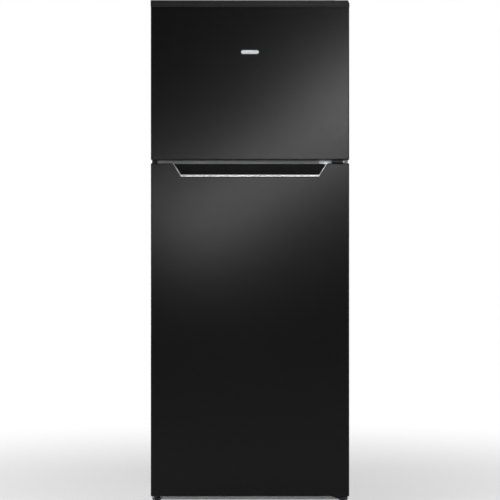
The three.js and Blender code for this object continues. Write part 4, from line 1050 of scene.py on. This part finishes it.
def lens():
    # Ribbed diffuser, extruded across the cabinet.
    pts = [(16, 1165.6), (16, 1151.5), (17, 1148.5), (22, 1143.6), (26, 1142)]
    n = 26
    for i in range(n * 4 + 1):
        y = 28 + (136 - 28) * i / (n * 4)
        pts.append((y, 1142.3 - 0.55 * abs(math.sin(math.pi * i / 4))))
    pts += [(138, 1142), (142, 1143.6), (147, 1148.5), (148, 1151.5), (148, 1165.6)]
    rows = []
    for x, k in ((-108, 1.6), (-107, 0.5), (-105, 0), (105, 0), (107, 0.5), (108, 1.6)):
        rows.append([(x, y + (k if y < 80 else -k), z + (k if z < 1160 else 0)) for y, z in pts])
    return loops(rows)


piece("lamp_cover_v", lens(), "lens", CB, ["lamp_cover"], angle=50)
sw = lathe([(0, -253.2), (2.6, -253.1), (4.2, -252.2), (5, -250.4), (5, -229.4), (4.6, -229), (0, -229)], "y", 250, 1154, 28)
piece("door_switch_v", sw, "grey", "door_switch", ["door_switch"], angle=45)
piece("door_switch_bezel", ring_lathe([(5.8, -243.8), (5.8, -245), (6.4, -245.6), (11.2, -245.6), (12.2, -244.8), (12.2, -243.8)], "y", 250, 1154, 32), "white", CB, angle=40)

for side, a, b in (("left", -284, -4), ("right", 4, 284)):
    m = (a + b) / 2
    body = "crisper_" + side
    tr = tray_shape(a + 0.6, b - 0.6, -140.6, 62, 93, 290, 2.6, 16, 5.5, 3.2, 7, 7)
    piece("crisper_%s_tub" % side, tr, "clear", body, [body], angle=45)
    front = soft_box("y", a, b, 94, 290, -145, -139.4, 9, 1.6, 6)
    piece("crisper_%s_front" % side, front, "frost", body, angle=45)
    piece("crisper_%s_grip" % side, join(lip_grip(m - 70, m + 70, -160, -143.5, 250, 267.4, 3.2), soft_box("y", m - 71.5, m - 68, 250, 267.4, -159.4, -143, 1, 0.8, 3), soft_box("y", m + 68, m + 71.5, 250, 267.4, -159.4, -143, 1, 0.8, 3)), "white", body, angle=40)
    band = join(soft_box("y", a + 10, b - 10, 276, 281, -145.5, -144.4, 2, 0.4, 4))
    piece("crisper_%s_band" % side, band, "satin", body, angle=40)
    rr = [soft_box("y", a + 30 + k * 24.4, a + 32 + k * 24.4, 96, 98.6, -128, 50, 0.8, 0.5, 2) for k in range(10)]
    piece("crisper_%s_ribs" % side, join(*rr), "clear", body, angle=40)

# ------------------------------------------------------------------ small fixings
# Black plug that closes the unused hinge holes at the left end of the cross rail.
piece("hinge_plug_left", join(soft_box("y", -348.6, -328.5, 1193, 1217, -279.6, -277.2, 3, 0.8, 4), soft_box("y", -345, -332, 1198, 1212, -281.4, -279.2, 2.5, 0.8, 4)), "black", CB, angle=40)
piece("hinge_screws_center", join(*[screw_shape("y", x, 1195.2 if k % 2 else 1215, -280.3, -1, 3.2) for k, x in enumerate((256, 270, 284))]), "zinc", CB, angle=35)
piece("hinge_bush_center", ring_lathe([(4.15, 1207.6), (9, 1207.6), (9.6, 1208.2), (9.6, 1210.8), (9, 1211.4), (4.15, 1211.4)], "z", 322, -320, 28), "black", CB, angle=40)
piece("hinge_bush_low", ring_lathe([(4.15, 1199.0), (8.6, 1199.0), (9.2, 1199.5), (9.2, 1201.6), (8.6, 1202.3), (4.15, 1202.3)], "z", 322, -320, 28), "black", CB, angle=40)
piece("hinge_screws_bottom", join(*[screw_shape("y", x, z, -280.4, -1, 3.2) for x, z in ((302, 52), (336, 52), (302, 34), (336, 34))]), "zinc", CB, angle=35)
rear_screws = []
for z in (420, 680, 940, 1200, 1460, 1700):
    for x in (-336, 336):
        rear_screws.append(screw_shape("y", x, z, 330.4, 1, 3.0))
for x in (-220, -75, 75, 220):
    rear_screws.append(screw_shape("y", x, 1752, 330.4, 1, 3.0))
for x in (-330, -165, 0, 165, 330):
    rear_screws.append(screw_shape("y", x, 247, 331.1, 1, 3.0))
for x in (-330, 0, 330):
    rear_screws.append(screw_shape("y", x, 47, 331.1, 1, 3.0))
piece("rear_screws", join(*rear_screws), "zinc", CB, angle=35)

# ================================================================== studio
def emission_floor():
    m = bpy.data.materials.new("studio_floor")
    m.use_nodes = True
    nt = m.node_tree
    for n in list(nt.nodes):
        nt.nodes.remove(n)
    N, L = nt.nodes.new, nt.links.new
    out, mix = N("ShaderNodeOutputMaterial"), N("ShaderNodeMixShader")
    dif, em = N("ShaderNodeBsdfDiffuse"), N("ShaderNodeEmission")
    dif.inputs["Color"].default_value = (0.86, 0.86, 0.86, 1)
    em.inputs["Color"].default_value = (1, 1, 1, 1)
    em.inputs["Strength"].default_value = 1.0
    tc, ln, mr = N("ShaderNodeTexCoord"), N("ShaderNodeVectorMath"), N("ShaderNodeMapRange")
    ln.operation = "LENGTH"
    L(tc.outputs["Object"], ln.inputs[0])
    mr.inputs["From Min"].default_value = 0.5
    mr.inputs["From Max"].default_value = 2.6
    mr.inputs["To Min"].default_value = 0.45
    mr.interpolation_type = "SMOOTHSTEP"
    L(ln.outputs["Value"], mr.inputs["Value"])
    path, on = N("ShaderNodeLightPath"), N("ShaderNodeMath")
    on.operation = "MULTIPLY"
    L(mr.outputs["Result"], on.inputs[0])
    L(path.outputs["Is Camera Ray"], on.inputs[1])
    L(on.outputs["Value"], mix.inputs["Fac"])
    L(dif.outputs["BSDF"], mix.inputs[1])
    L(em.outputs["Emission"], mix.inputs[2])
    L(mix.outputs["Shader"], out.inputs["Surface"])
    return m


fm = bpy.data.meshes.new("studio_floor")
R = 60.0
fm.from_pydata([(-R, -R, 0), (R, -R, 0), (R, R, 0), (-R, R, 0)], [], [(0, 1, 2, 3)])
floor = bpy.data.objects.new("studio_floor", fm)
bpy.context.scene.collection.objects.link(floor)
fm.materials.append(emission_floor())

world = bpy.data.worlds.new("studio")
bpy.context.scene.world = world
world.use_nodes = True
nt = world.node_tree
for n in list(nt.nodes):
    nt.nodes.remove(n)
out = nt.nodes.new("ShaderNodeOutputWorld")
mx = nt.nodes.new("ShaderNodeMixShader")
dim, white = nt.nodes.new("ShaderNodeBackground"), nt.nodes.new("ShaderNodeBackground")
dim.inputs["Color"].default_value = (1, 1, 1, 1)
dim.inputs["Strength"].default_value = 0.13
white.inputs["Color"].default_value = (1, 1, 1, 1)
white.inputs["Strength"].default_value = 1.0
lp = nt.nodes.new("ShaderNodeLightPath")
nt.links.new(lp.outputs["Is Camera Ray"], mx.inputs["Fac"])
nt.links.new(dim.outputs["Background"], mx.inputs[1])
nt.links.new(white.outputs["Background"], mx.inputs[2])
nt.links.new(mx.outputs["Shader"], out.inputs["Surface"])


def area(name, where, look, sx, sy, power, roll=0.0, spread=180):
    d = bpy.data.lights.new(name, "AREA")
    d.shape = "RECTANGLE"
    d.size, d.size_y, d.energy = sx, sy, power
    d.spread = math.radians(spread)
    o = bpy.data.objects.new(name, d)
    bpy.context.scene.collection.objects.link(o)
    direction = Vector(look) - Vector(where)
    q = direction.to_track_quat("-Z", "Y")
    o.rotation_mode = "QUATERNION"
    o.rotation_quaternion = q @ Matrix.Rotation(math.radians(roll), 4, "Z").to_quaternion()
    o.location = where
    return o


area("strip_key", (0.66, -6.94, 1.80), (0.0, -0.34, 1.2), 2.9, 0.34, 38, roll=33)
area("strip_end_right", (0.80, -6.90, 2.12), (0.0, -0.34, 1.2), 0.8, 0.34, 5.6, roll=33)
area("strip_end_left", (-0.72, -6.90, 1.24), (0.0, -0.34, 1.2), 0.5, 0.36, 2.2, roll=33)
area("low_fill", (1.9, -5.4, 0.5), (0.3, -0.3, 0.5), 1.2, 0.8, 8)
area("overhead", (0.0, -0.9, 4.4), (0.0, -0.1, 0.0), 4.5, 4.0, 70)
area("left_box", (-3.6, -1.6, 1.7), (0.0, 0.0, 0.9), 1.6, 2.6, 62)
area("right_box", (3.6, -1.4, 1.6), (0.0, 0.0, 0.9), 1.6, 2.6, 48)
area("rear_box", (-2.6, 4.2, 0.95), (0.0, 0.3, 0.9), 2.0, 1.4, 56)

cam = bpy.data.cameras.new("camera")
camera = bpy.data.objects.new("camera", cam)
bpy.context.scene.collection.objects.link(camera)
camera.location = (0.0, -0.3395 - 6.0, 0.8939)
camera.rotation_euler = (math.radians(90), 0, 0)
cam.sensor_width = 36.0
cam.lens = 36.0 * 6.0 / 1.75825
cam.clip_end = 200
bpy.context.scene.camera = camera
bpy.context.scene.view_settings.view_transform = "Standard"
